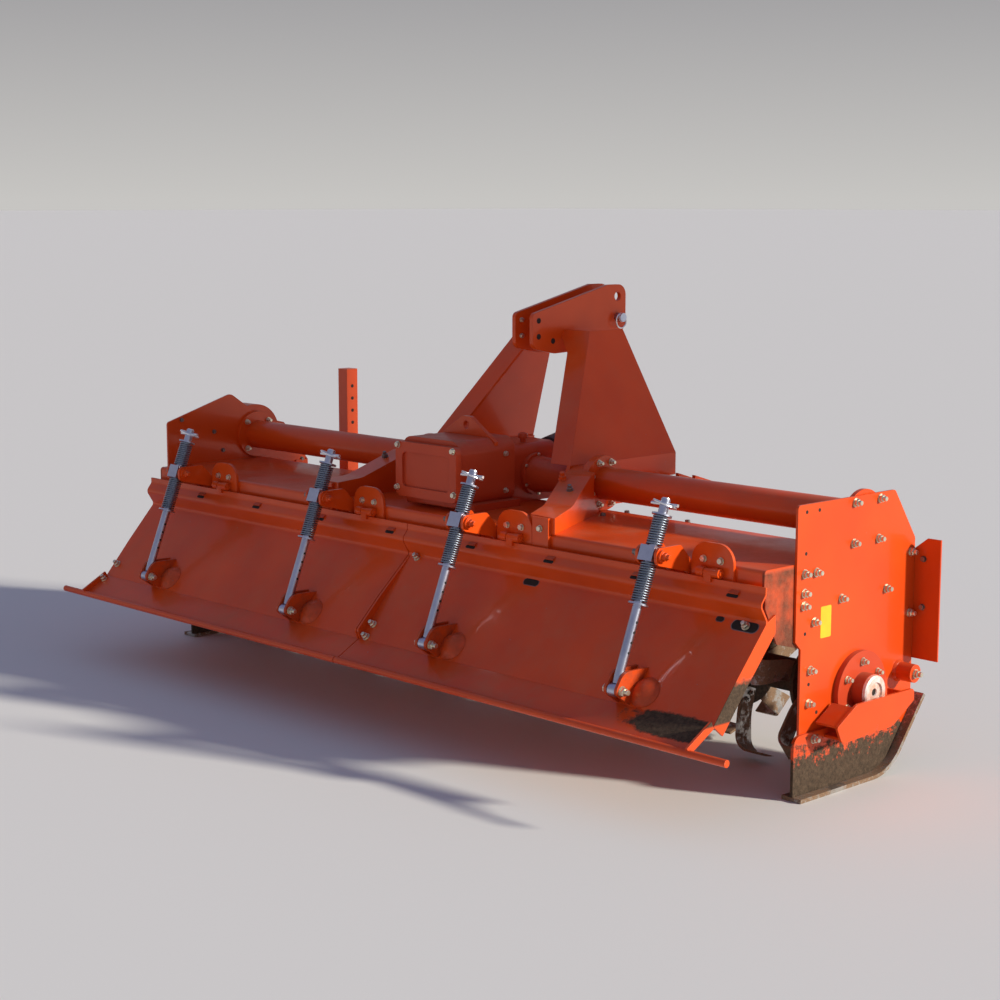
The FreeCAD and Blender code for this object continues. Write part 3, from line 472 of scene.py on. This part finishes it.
def hexBolt(bm, place, direction, size, roll=0.3, stud=False):
    # size is half the width across the corners
    m = aim(place, direction, roll)
    for radius, low, high, sides, top in boltDiscs["head"] + (boltDiscs["stud"] if stud else ()):
        disc(bm, m, size * radius, size * low, size * high, sides, size * top)


# rods, as the solids have them
rodSet = {
    "xs": (-1.190, -0.352, 0.364, 1.178),
    "lug": (-0.6005, 0.339),
    "tilt": math.radians(21.5),
    "span": 0.400,
    "blockHalf": 0.023,
}


def rodFrame(x, s=0.0):
    base = Matrix.Translation((x, rodSet["lug"][0], rodSet["lug"][1]))
    return base @ Matrix.Rotation(-rodSet["tilt"], 4, "X") @ Matrix.Translation((0, 0, s))


springSet = {
    "outer": 0.0245,
    "wire": 0.0028,
    "lower": 0.122,
    "upper": 0.092,
    "keep": 0.53,       # share of its length a lower spring keeps when the board is up
    "pitch": 0.0072,
    "steps": 18,        # per turn
}


def coil(bm, m, length, s):
    start = len(bm.verts)
    turns = (length - 2 * s["wire"]) / s["pitch"]
    ring = bmesh.ops.create_circle(bm, segments=8, radius=s["wire"], cap_ends=False)["verts"]
    bmesh.ops.rotate(bm, verts=ring, cent=(0, 0, 0), matrix=Matrix.Rotation(math.radians(90), 3, "X"))
    bmesh.ops.translate(bm, verts=ring, vec=(s["outer"] - s["wire"], 0, s["wire"]))
    edges = list({e for v in ring for e in v.link_edges})
    steps = int(turns * s["steps"])
    bmesh.ops.spin(bm, geom=ring + edges, cent=(0, 0, 0), axis=(0, 0, 1), angle=turns * math.tau,
                   steps=steps, dvec=(0, 0, s["pitch"] * turns / steps))
    bm.verts.ensure_lookup_table()
    made = bm.verts[start:]
    ends = list({e for v in made for e in v.link_edges if e.is_boundary})
    bmesh.ops.holes_fill(bm, edges=ends, sides=0)
    bmesh.ops.transform(bm, matrix=m, verts=made)


def addSprings():
    s = springSet
    lowStart = rodSet["span"] - rodSet["blockHalf"] - s["lower"]
    bm = bmesh.new()
    for x in rodSet["xs"]:
        coil(bm, rodFrame(x, lowStart), s["lower"], s)
    lower = piece("lowerCoils", bm, "rods", "spring", 60, ("springs_lower",))
    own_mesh(lower)
    bm = bmesh.new()
    for x in rodSet["xs"]:
        coil(bm, rodFrame(x, rodSet["span"] + rodSet["blockHalf"]), s["upper"], s)
    piece("upperCoils", bm, "swivels", "spring", 60, ("springs_upper",))


addSprings()
print("coil springs wound")


# fasteners and turned pieces
def bolts(name, body, kind, places, direction, size, stud=True):
    bm = bmesh.new()
    for i, place in enumerate(places):
        hexBolt(bm, place, direction, size, 0.35 + 0.9 * i, stud)
    return piece(name, bm, body, kind, 30)


def dots(name, body, kind, places, direction, radius, rise=0.0004):
    bm = bmesh.new()
    for place in places:
        disc(bm, aim(place, direction), radius, -0.0005, rise, 18)
    return piece(name, bm, body, kind, 30)


def turned(bm, m, profile, segments=32):
    # closed turned shape from (radius, height) points round the frame's Z
    line = [bm.verts.new(m @ Vector((r, 0, h))) for r, h in profile]
    edges = [bm.edges.new(pair) for pair in zip(line, line[1:])]
    bmesh.ops.spin(bm, geom=line + edges, cent=m.translation, axis=m.col[2].xyz, angle=math.tau,
                   steps=segments, use_merge=True)
    bmesh.ops.remove_doubles(bm, verts=bm.verts, dist=0.00001)


def hoop(bm, m, radius, wire, segments=28):
    place = m @ Matrix.Translation((radius, 0, 0)) @ Matrix.Rotation(math.radians(90), 4, "X")
    ring = bmesh.ops.create_circle(bm, segments=8, radius=wire, cap_ends=False, matrix=place)["verts"]
    edges = list({e for v in ring for e in v.link_edges})
    bmesh.ops.spin(bm, geom=ring + edges, cent=m.translation, axis=m.col[2].xyz, angle=math.tau,
                   steps=segments, use_merge=True)


def slotHole(bm, m, length, width, low, high, segments=24):
    # flat plug with round ends, its length along the frame's X
    made = bmesh.ops.create_cone(bm, cap_ends=True, segments=segments, radius1=width / 2, radius2=width / 2,
                                 depth=high - low)["verts"]
    for v in made:
        v.co.x += math.copysign((length - width) / 2, v.co.x + 1e-7)
        v.co.z += (high + low) / 2
    bmesh.ops.transform(bm, matrix=m, verts=made)


def ringPlaces(x, centre, radius, count, first=0.0):
    turns = [math.radians(first) + math.tau * i / count for i in range(count)]
    return [(x, centre[0] + radius * math.cos(t), centre[1] + radius * math.sin(t)) for t in turns]


right, left, up, back, front = (1, 0, 0), (-1, 0, 0), (0, 0, 1), (0, -1, 0), (0, 1, 0)
beamAxis = (0.1295, 0.783)
rotorAxis = (0.1055, 0.279)

sidePlate = {
    "face": 1.500,
    "boltSize": 0.0120,
    "bolts": (
        (-0.160, 0.660), (-0.106, 0.658), (-0.160, 0.604), (-0.161, 0.567), (-0.111, 0.514),
        (0.236, 0.565), (0.016, 0.565), (0.3595, 0.661), (0.3595, 0.473), (-0.125, 0.373),
        (-0.130, 0.276), (0.073, 0.842), (0.195, 0.842), (0.069, 0.722), (0.191, 0.722)),
    "holes": ((-0.155, 0.838), (-0.097, 0.838), (-0.155, 0.718), (-0.152, 0.484),
              (-0.130, 0.332), (-0.090, 0.243)),
    "holeRadius": 0.0055,
    "sheet": 0.008,
    "innerCount": 7,
    "sticker": ((-0.0800, -0.0310), (0.460, 0.553)),
    "stickerSheet": 0.0006,
    "stickerRise": 0.0002,
    "stickerCorner": 0.004,
    "footBolts": ((-0.1145, 0.169), (0.262, 0.165)),
    "footSheet": 0.010,
    "footBoltSize": 0.0115,
    "angleBolts": ((1.533, 0.3798, 0.640), (1.533, 0.3798, 0.492)),
    "angleBoltSize": 0.0085,
}


def addSidePlateParts(s):
    face = s["face"]
    outside = [(face, y, z) for y, z in s["bolts"]]
    inside = [(face - s["sheet"], y, z) for y, z in s["bolts"][:s["innerCount"]]]
    holes = [(face, y, z) for y, z in s["holes"]]
    feet = [(face + s["footSheet"], y, z) for y, z in s["footBolts"]]
    bolts("sidePlateBolts", "root", "bolt", outside, right, s["boltSize"])
    bolts("sidePlateInnerBolts", "root", "bolt", inside, left, s["boltSize"], False)
    dots("sidePlateHoles", "root", "hole", holes, right, s["holeRadius"])
    bolts("skidBolts", "root", "bolt", feet, right, s["footBoltSize"])
    bolts("edgeAngleBolts", "root", "dull", s["angleBolts"], back, s["angleBoltSize"], False)
    (y0, y1), (z0, z1) = s["sticker"]
    middle = Matrix.Translation((face + s["stickerRise"], (y0 + y1) / 2, (z0 + z1) / 2))
    flat = Matrix.Diagonal((s["stickerSheet"], y1 - y0, z1 - z0, 1))
    bm = bmesh.new()
    bmesh.ops.create_cube(bm, size=1, matrix=middle @ flat)
    corners = [e for e in bm.edges if abs((e.verts[0].co - e.verts[1].co).x) > s["stickerSheet"] / 2]
    bmesh.ops.bevel(bm, geom=corners, offset=s["stickerCorner"], offset_type="OFFSET", affect="EDGES",
                    segments=3, profile=0.5, material=-1)
    piece("blankSticker", bm, "root", "film", 30)


addSidePlateParts(sidePlate)

hub = {
    "flangeFace": 1.518,
    "boltRing": 0.086,
    "boltSize": 0.0105,
    "cap": ((0.0, 0.0400), (0.010, 0.0400), (0.012, 0.0440), (0.028, 0.0440), (0.031, 0.0500),
            (0.046, 0.0500), (0.0510, 0.0465), (0.0525, 0.0370), (0.0, 0.0370)),
    "capHole": 0.0105,
    "capRise": 0.040,
    "bossPlace": (1.500, 0.3145, 0.300),
    "bossLength": 0.060,
    "bossRadii": (0.029, 0.028),
    "bossFoot": (0.035, 0.030, 0.008),
    "bossBoltSize": 0.0125,
}


def addHubParts(s):
    centre = (s["flangeFace"], *rotorAxis)
    bm = bmesh.new()
    turned(bm, aim(centre, right), s["cap"], 40)
    piece("bearingCap", bm, "root", "hub", 35)
    capFace = (s["flangeFace"] + s["capRise"], *rotorAxis)
    dots("bearingCapHole", "root", "hole", [capFace], right, s["capHole"], 0.0006)
    ring = ringPlaces(s["flangeFace"], rotorAxis, s["boltRing"], 6, 30)
    bolts("hubBolts", "root", "bolt", ring, right, s["boltSize"])
    low, top = s["bossRadii"]
    footLow, footTop, footHeight = s["bossFoot"]
    bm = bmesh.new()
    disc(bm, aim(s["bossPlace"], right), low, 0.0, s["bossLength"], 28, top)
    disc(bm, aim(s["bossPlace"], right), footLow, 0.0, footHeight, 28, footTop)
    piece("guardBoss", bm, "root", "sheet", 40)
    x, y, z = s["bossPlace"]
    bolts("guardBossBolt", "root", "bolt", [(x + s["bossLength"], y, z)], right, s["bossBoltSize"])


addHubParts(hub)

leftPlate = {
    "inner": -1.492,
    "outer": -1.500,
    "innerSize": 0.0075,
    "outerSize": 0.0110,
    "bolts": (
        (-0.2275, 0.866), (-0.0755, 0.808), (-0.0345, 0.731), (-0.2600, 0.655), (-0.1900, 0.655),
        (0.3595, 0.661), (0.3595, 0.473)),
}


def addLeftPlateParts(s):
    inside = [(s["inner"], y, z) for y, z in s["bolts"]]
    outside = [(s["outer"], y, z) for y, z in s["bolts"]]
    bolts("leftPlateBolts", "root", "dull", inside, right, s["innerSize"], False)
    bolts("leftPlateOuterBolts", "root", "bolt", outside, left, s["outerSize"])


addLeftPlateParts(leftPlate)
print("side plates fitted")

# main beam: the bolted flanges beside the shoulders and at the side plates
beamFlange = {
    "inner": 0.413,
    "outer": 0.441,
    "endFace": 1.478,
    "radius": 0.0745,
    "size": 0.0100,
    "count": 8,
    "inWeb": (3, 4, 5),     # places whose inner side is filled by the shoulder's web
}


def addBeamBolts(s):
    for side, hand, away, toward in ((1, "right", right, left), (-1, "left", left, right)):
        outside = ringPlaces(side * s["outer"], beamAxis, s["radius"], s["count"], 22)
        ring = ringPlaces(side * s["inner"], beamAxis, s["radius"], s["count"], 22)
        inside = [place for i, place in enumerate(ring) if i not in s["inWeb"]]
        ends = ringPlaces(side * s["endFace"], beamAxis, s["radius"], 4, 45)
        bolts(hand + "FlangeBolts", "root", "bolt", outside, away, s["size"])
        bolts(hand + "FlangeNuts", "root", "bolt", inside, toward, s["size"], False)
        bolts(hand + "BeamEndNuts", "root", "bolt", ends, toward, s["size"])


addBeamBolts(beamFlange)

gearbox = {
    "coverFace": -0.2765,
    "coverBolts": ((-0.138, 0.896), (0.138, 0.896), (-0.142, 0.751), (0.142, 0.751)),
    "sideBolts": ((-0.0445, 0.870), (-0.0445, 0.745)),
    "levelPlug": (-0.145, -0.150, 0.775),
    "plugFlange": (0.017, 0.0, 0.006, 24),
    "plugHead": (0.013, 0.005, 0.015, 6),
    "trumpetFace": 0.128,
    "breather": (0.060, 0.120, 0.888),
    "breatherFoot": (0.010, 0.0, 0.016, 6),
    "breatherCap": ((0.0, 0.014), (0.016, 0.014), (0.018, 0.020), (0.016, 0.030), (0.006, 0.034),
                    (0.0, 0.034)),
    "nosePlace": (0, 0.3045, 0.805),
    "nose": ((0.062, 0.0), (0.080, 0.0), (0.098, 0.088), (0.095, 0.088), (0.077, 0.003), (0.062, 0.003),
             (0.062, 0.0)),
    "housingSide": 0.145,
    "trumpetRing": (0.0675, 6, 30),
    "coverBoltSize": 0.0095,
    "sideBoltSize": 0.0085,
    "trumpetBoltSize": 0.0052,
    "shaftHeight": 0.805,
    "splineCount": 6,
    "splinePlace": (0, 0.361, 0.0165),
    "splineSize": (0.0085, 0.068, 0.0040),
}


def addGearboxParts(s):
    cover = [(x, s["coverFace"], z) for x, z in s["coverBolts"]]
    bolts("coverBolts", "root", "bolt", cover, back, s["coverBoltSize"], False)
    for side, hand, away in ((1, "Right", right), (-1, "Left", left)):
        sides = [(side * s["housingSide"], y, z) for y, z in s["sideBolts"]]
        ring = ringPlaces(side * s["trumpetFace"], beamAxis, *s["trumpetRing"])
        bolts("housingBolts" + hand, "root", "bolt", sides, away, s["sideBoltSize"], False)
        bolts("trumpetBolts" + hand, "root", "bolt", ring, away, s["trumpetBoltSize"], False)
    bm = bmesh.new()
    disc(bm, aim(s["levelPlug"], left), *s["plugFlange"])
    disc(bm, aim(s["levelPlug"], left, 0.3), *s["plugHead"])
    piece("levelPlug", bm, "root", "dull", 30)
    bm = bmesh.new()
    disc(bm, aim(s["breather"], up), *s["breatherFoot"])
    turned(bm, aim(s["breather"], up), s["breatherCap"], 24)
    piece("breather", bm, "root", "cast", 35)
    bm = bmesh.new()
    turned(bm, aim(s["nosePlace"], front), s["nose"], 40)
    piece("inputGuard", bm, "root", "plastic", 35)
    bm = bmesh.new()
    spline = Matrix.Translation(s["splinePlace"]) @ Matrix.Diagonal((*s["splineSize"], 1))
    axis = Matrix.Translation((0, 0, s["shaftHeight"]))
    for i in range(s["splineCount"]):
        turn = Matrix.Rotation(math.tau * i / s["splineCount"], 4, "Y")
        bmesh.ops.create_cube(bm, size=1, matrix=axis @ turn @ spline)
    piece("inputSplines", bm, "input", "bare", 30)


addGearboxParts(gearbox)
print("beam and gearbox fitted")

# board: its rear faces at rest, as (y, z) of the upper and lower edge
boardFaces = (
    (-0.3570, 0.629, -0.3805, 0.600),
    (-0.3485, 0.548, -0.4705, 0.411),
    (-0.4705, 0.411, -0.5705, 0.292),
    (-0.5705, 0.292, -0.6705, 0.236),
)


def boardFrame(x, z):
    # frame on the rear surface at a height: its Z stands out, its X runs along the board
    y0, z0, y1, z1 = [f for f in boardFaces if f[1] >= z >= f[3]][0]
    share = (z0 - z) / (z0 - z1)
    lean = math.atan2(z0 - z1, y0 - y1)
    return Matrix.Translation((x, y0 + share * (y1 - y0), z)) @ Matrix.Rotation(lean, 4, "X")


boardParts = {
    "nubs": (-1.168, -0.822, -0.450, -0.075, 0.325, 0.679, 1.042, 1.411),
    "nubHeight": 0.617,
    "nubSlot": (0.042, 0.011),
    "nubSlotPlace": (-0.002, -0.005, 0),
    "nubPlace": (0.002, 0.006, 0.0030),
    "nubLean": -24,
    "nubSize": (0.034, 0.015, 0.0035),
    "slotRim": 0.006,
    "boltSize": 0.0115,
    "slots": ((0.592, 0.535, 0.062, 0.022), (1.357, 0.537, 0.026, 0.016), (1.4520, 0.531, 0.092, 0.032)),
    "seamBolts": ((0.030, 0.337), (0.030, 0.3005), (0.048, 0.5400)),
    "leftEndBolts": ((-1.492, 0.334), (-1.502, 0.280)),
}


def addBoardParts(s):
    bm = bmesh.new()
    dark = bmesh.new()
    for x in s["nubs"]:                    # bent tongues beside short slots
        m = boardFrame(x, s["nubHeight"])
        slotHole(dark, m @ Matrix.Translation(s["nubSlotPlace"]), *s["nubSlot"], -0.0006, 0.0005)
        tongue = m @ Matrix.Translation(s["nubPlace"]) @ Matrix.Rotation(math.radians(s["nubLean"]), 4, "X")
        bmesh.ops.create_cube(bm, size=1, matrix=tongue @ Matrix.Diagonal((*s["nubSize"], 1)))
    piece("boardTongues", bm, "board", "tongue", 40)
    rims = bmesh.new()
    for x, z, length, width in s["slots"]:
        m = boardFrame(x, z)
        slotHole(dark, m, length, width, -0.0006, 0.0008)
        slotHole(rims, m, length + s["slotRim"], width + s["slotRim"], -0.0008, 0.0003)
    piece("boardSlots", dark, "board", "hole", 30)
    piece("boardSlotRims", rims, "board", "dull", 30)
    bm = bmesh.new()
    for x, z in s["seamBolts"] + s["leftEndBolts"]:
        m = boardFrame(x, z)
        hexBolt(bm, m.translation, m.to_3x3() @ Vector(up), s["boltSize"], x * 9, True)
    x, z = s["slots"][2][:2]
    m = boardFrame(x + 0.004, z)
    hexBolt(bm, m.translation, m.to_3x3() @ Vector(up), s["boltSize"], 0.5, True)
    piece("boardBolts", bm, "board", "bolt", 30)


addBoardParts(boardParts)

# hinges, swivel brackets and the feet of the arms
hingeSet = {"offset": 0.132, "face": -0.3405, "apart": 0.032, "height": 0.699, "size": 0.0095}
pivotSet = {"y": -0.4539, "z": 0.7112, "face": 0.041, "boss": 0.0195, "washer": 0.008, "nutRise": 0.007,
            "nutSize": 0.0125, "headSize": 0.0145}
armSet = {
    "hoodBolts": (
        (0.511, 0.1635, 0.6858), (0.507, 0.0525, 0.690), (0.777, 0.1635, 0.6858),
        (-0.511, 0.1635, 0.6858), (-0.777, 0.1635, 0.6858)),
    "hoodSize": 0.0085,
    "bolts": ((0.504, -0.0995, 0.789), (-0.440, -0.080, 0.808)),
    "boss": ((0.433, -0.0605, 0.814),),
    "upright": (0.155, -0.31, 0.938),       # square to the arms' upper faces
    "boltSize": 0.0105,
    "bossSize": 0.0135,
    "feet": ((-0.452, -0.3425, 0.705), (0.613, -0.3425, 0.705)),
    "footSize": 0.0095,
}


def addHingeParts(s):
    pair = (s["offset"] - s["apart"], s["offset"] + s["apart"])
    places = [(x + d, s["face"], s["height"]) for x in rodSet["xs"] for d in pair]
    bolts("hingeBolts", "root", "bolt", places, back, s["size"], False)


def addPivotParts(s):
    y, z = s["y"], s["z"]
    bm = bmesh.new()
    for x in rodSet["xs"]:
        disc(bm, aim((x + s["face"], y, z), right), s["boss"], 0.0, s["washer"], 24)
    piece("pivotWashers", bm, "swivels", "sheet", 30)
    nuts = [(x + s["face"] + s["nutRise"], y, z) for x in rodSet["xs"]]
    heads = [(x - s["face"], y, z) for x in rodSet["xs"]]
    bolts("pivotNuts", "swivels", "sheet", nuts, right, s["nutSize"])
    bolts("pivotHeads", "swivels", "dull", heads, left, s["headSize"])


def addArmParts(s):
    bolts("hoodBolts", "root", "dull", s["hoodBolts"], up, s["hoodSize"], False)
    bolts("armBolts", "root", "dull", s["bolts"], s["upright"], s["boltSize"])
    bolts("armBoss", "root", "sheet", s["boss"], s["upright"], s["bossSize"])
    bolts("footBolts", "root", "bolt", s["feet"], back, s["footSize"], False)


addHingeParts(hingeSet)
addPivotParts(pivotSet)
addArmParts(armSet)

# what is fastened on the rods
rodParts = {
    "pin": 0.150,
    "pinHalf": 0.050,
    "pinRadius": 0.0048,
    "ring": 0.034,
    "ringWire": 0.0034,
    "ringLean": 12,
    "collar": (0.0135, 0.008, 0.0185, 20, 0.011),
    "holes": (0.110, 0.140, 0.170, 0.200),
    "holeRadius": 0.0042,
    "holeSpan": (0.0128, 0.0143),
    "footHalf": 0.0255,
    "footSize": 0.0135,
}


def addRodParts(s):
    bm = bmesh.new()
    dark = bmesh.new()
    for x in rodSet["xs"]:
        m = rodFrame(x, rodSet["span"] + s["pin"])
        across = m @ Matrix.Rotation(math.radians(90), 4, "Y")
        disc(bm, across, s["pinRadius"], -s["pinHalf"], s["pinHalf"], 12)
        hoop(bm, m @ Matrix.Rotation(math.radians(s["ringLean"]), 4, "Y"), s["ring"], s["ringWire"])
        disc(bm, m, *s["collar"])
        for h in s["holes"]:
            for side in (-1, 1):
                hole = rodFrame(x, h) @ Matrix.Rotation(math.radians(90 * side), 4, "Y")
                disc(dark, hole, s["holeRadius"], *s["holeSpan"], 14)
    piece("rodPins", bm, "rods", "pin", 40)
    piece("rodHoles", dark, "rods", "hole", 40)
    bm = bmesh.new()
    for x in rodSet["xs"]:
        hexBolt(bm, (x + s["footHalf"], *rodSet["lug"]), right, s["footSize"], 0.2, True)
        hexBolt(bm, (x - s["footHalf"], *rodSet["lug"]), left, s["footSize"], 0.9, False)
    piece("rodFootNuts", bm, "board", "bolt", 30)


addRodParts(rodParts)
print("board and rods fitted")

# mast and hitch
linkSet = {
    "rear": ((0.2045, 1.301), (0.2045, 1.246), (0.2745, 1.228)),
    "right": 0.051,
    "left": -0.035,
    "holeRadius": 0.0100,
    "boltSize": 0.0080,
    "topPinPlace": (0.0735, 0.6015, 1.298),
    "topPinHead": (0.0168, 0.0, 0.0060, 24, 0.0150),
    "topRings": (((0.0700, 0.6015, 1.286), 0.026, 0.0026), ((-0.0640, 0.6015, 1.292), 0.024, 0.0035)),
    "linch": (0.546, 0.6395, 0.688),
    "linchDrop": 0.010,
    "linchRing": (0.0275, 0.0026),
    "linchPin": (0.0042, -0.026, 0.026),
}


def addHitchParts(s):
    holes = [(s["right"], y, z) for y, z in s["rear"]]
    plates = [(s["left"], y, z) for y, z in s["rear"][:2]]
    dots("linkPlateHoles", "root", "hole", holes, right, s["holeRadius"])
    bolts("linkPlateBolts", "root", "bolt", plates, right, s["boltSize"], False)
    bm = bmesh.new()
    disc(bm, aim(s["topPinPlace"], right), *s["topPinHead"])
    for place, radius, wire in s["topRings"]:
        hoop(bm, aim(place, right), radius, wire)
    x, y, z = s["linch"]
    for side in (-1, 1):
        hoop(bm, aim((side * x, y, z - s["linchDrop"]), right), *s["linchRing"])
        disc(bm, aim((side * x, y, z), up), *s["linchPin"], 12)
    piece("hitchPinRings", bm, "root", "pin", 40)


addHitchParts(linkSet)

# side drive on the left
driveSet = {
    "caseFace": -1.592,
    "coverFace": -1.602,
    "coverRings": ((0.1295, 0.783, 0.066, 6), (0.1055, 0.279, 0.074, 8)),
    "rim": 0.104,
    "rimStart": 0.335,
    "rimStep": 0.0975,
    "rimCount": 5,
    "boltSize": 0.0082,
    "plugs": ((0.118, 0.520), (0.118, 0.640)),
    "plugSize": 0.0140,
}


def addDriveParts(s):
    places = []
    for y, z, radius, count in s["coverRings"]:
        places += ringPlaces(s["coverFace"], (y, z), radius, count, 15)
    bolts("driveCoverBolts", "root", "bolt", places, left, s["boltSize"], False)
    edges = []
    lean = beamAxis[0] - rotorAxis[0]
    rise = beamAxis[1] - rotorAxis[1]
    for step in range(s["rimCount"]):
        z = s["rimStart"] + s["rimStep"] * step
        middle = rotorAxis[0] + lean * (z - rotorAxis[1]) / rise
        edges += [(s["caseFace"], middle - s["rim"], z), (s["caseFace"], middle + s["rim"], z)]
    bolts("driveCaseBolts", "root", "bolt", edges, left, s["boltSize"], False)
    plugs = [(s["caseFace"], y, z) for y, z in s["plugs"]]
    bolts("drivePlugs", "root", "dull", plugs, left, s["plugSize"], False)


addDriveParts(driveSet)

# blade bolts: two through each blade's foot
tineSet = {
    "flanges": 12,
    "perFlange": 6,
    "half": 1.346,
    "foot": 0.014,
    "places": ((-0.006, 0.082), (0.006, 0.104)),     # sideways and outwards in the foot
    "size": 0.0085,
}


def addTineBolts(s):
    twist = 360.0 / s["flanges"] / 2 + 17
    bm = bmesh.new()
    for row in range(s["flanges"]):
        x = -s["half"] + row * 2 * s["half"] / (s["flanges"] - 1)
        for blade in range(s["perFlange"]):
            side = 1 if blade % 2 == 0 else -1
            turn = Matrix.Rotation(math.radians(-360.0 / s["perFlange"] * blade - row * twist), 3, "X")
            for y, r in s["places"]:
                spot = turn @ Vector((0, y, r))
                place = (x + side * s["foot"], rotorAxis[0] + spot.y, rotorAxis[1] + spot.z)
                m = aim(place, (side, 0, 0), r * 40)
                disc(bm, m, s["size"], 0.0, s["size"] * 0.8, 6)
                disc(bm, m, s["size"] * 0.5, s["size"] * 0.7, s["size"] * 1.3, 8)
    piece("tineBolts", bm, "rotor", "blade", 30)


addTineBolts(tineSet)

standSet = {
    "x": -1.385,
    "y": 0.5215,
    "half": 0.0275,
    "sleeve": (0.0345, 0.545),
    "holes": (0.46, 0.66, 0.71, 0.76, 0.81, 0.86, 0.91, 0.96),
    "holeRadius": 0.0070,
    "pinRadius": 0.0065,
    "ring": (0.022, 0.0026),
}


def addStandParts(s):
    bm = bmesh.new()
    outer, z = s["sleeve"]
    disc(bm, aim((s["x"] - outer - 0.020, s["y"], z), right), s["pinRadius"], 0.0, 2 * outer + 0.045, 16)
    hoop(bm, aim((s["x"] + outer + 0.018, s["y"], z - 0.014), right), *s["ring"])
    disc(bm, aim((s["x"] - outer - 0.026, s["y"], z), right), 0.012, 0.0, 0.008, 16)
    piece("standPin", bm, "root", "pin", 40)
    places = [(s["x"] - s["half"], s["y"], z) for z in s["holes"]]
    others = [(x + 2 * s["half"], y, z) for x, y, z in places]
    dots("standHolesLeft", "stand", "hole", places, left, s["holeRadius"])
    dots("standHolesRight", "stand", "hole", others, right, s["holeRadius"])


addStandParts(standSet)
print("hitch, drive, blades and stand fitted")
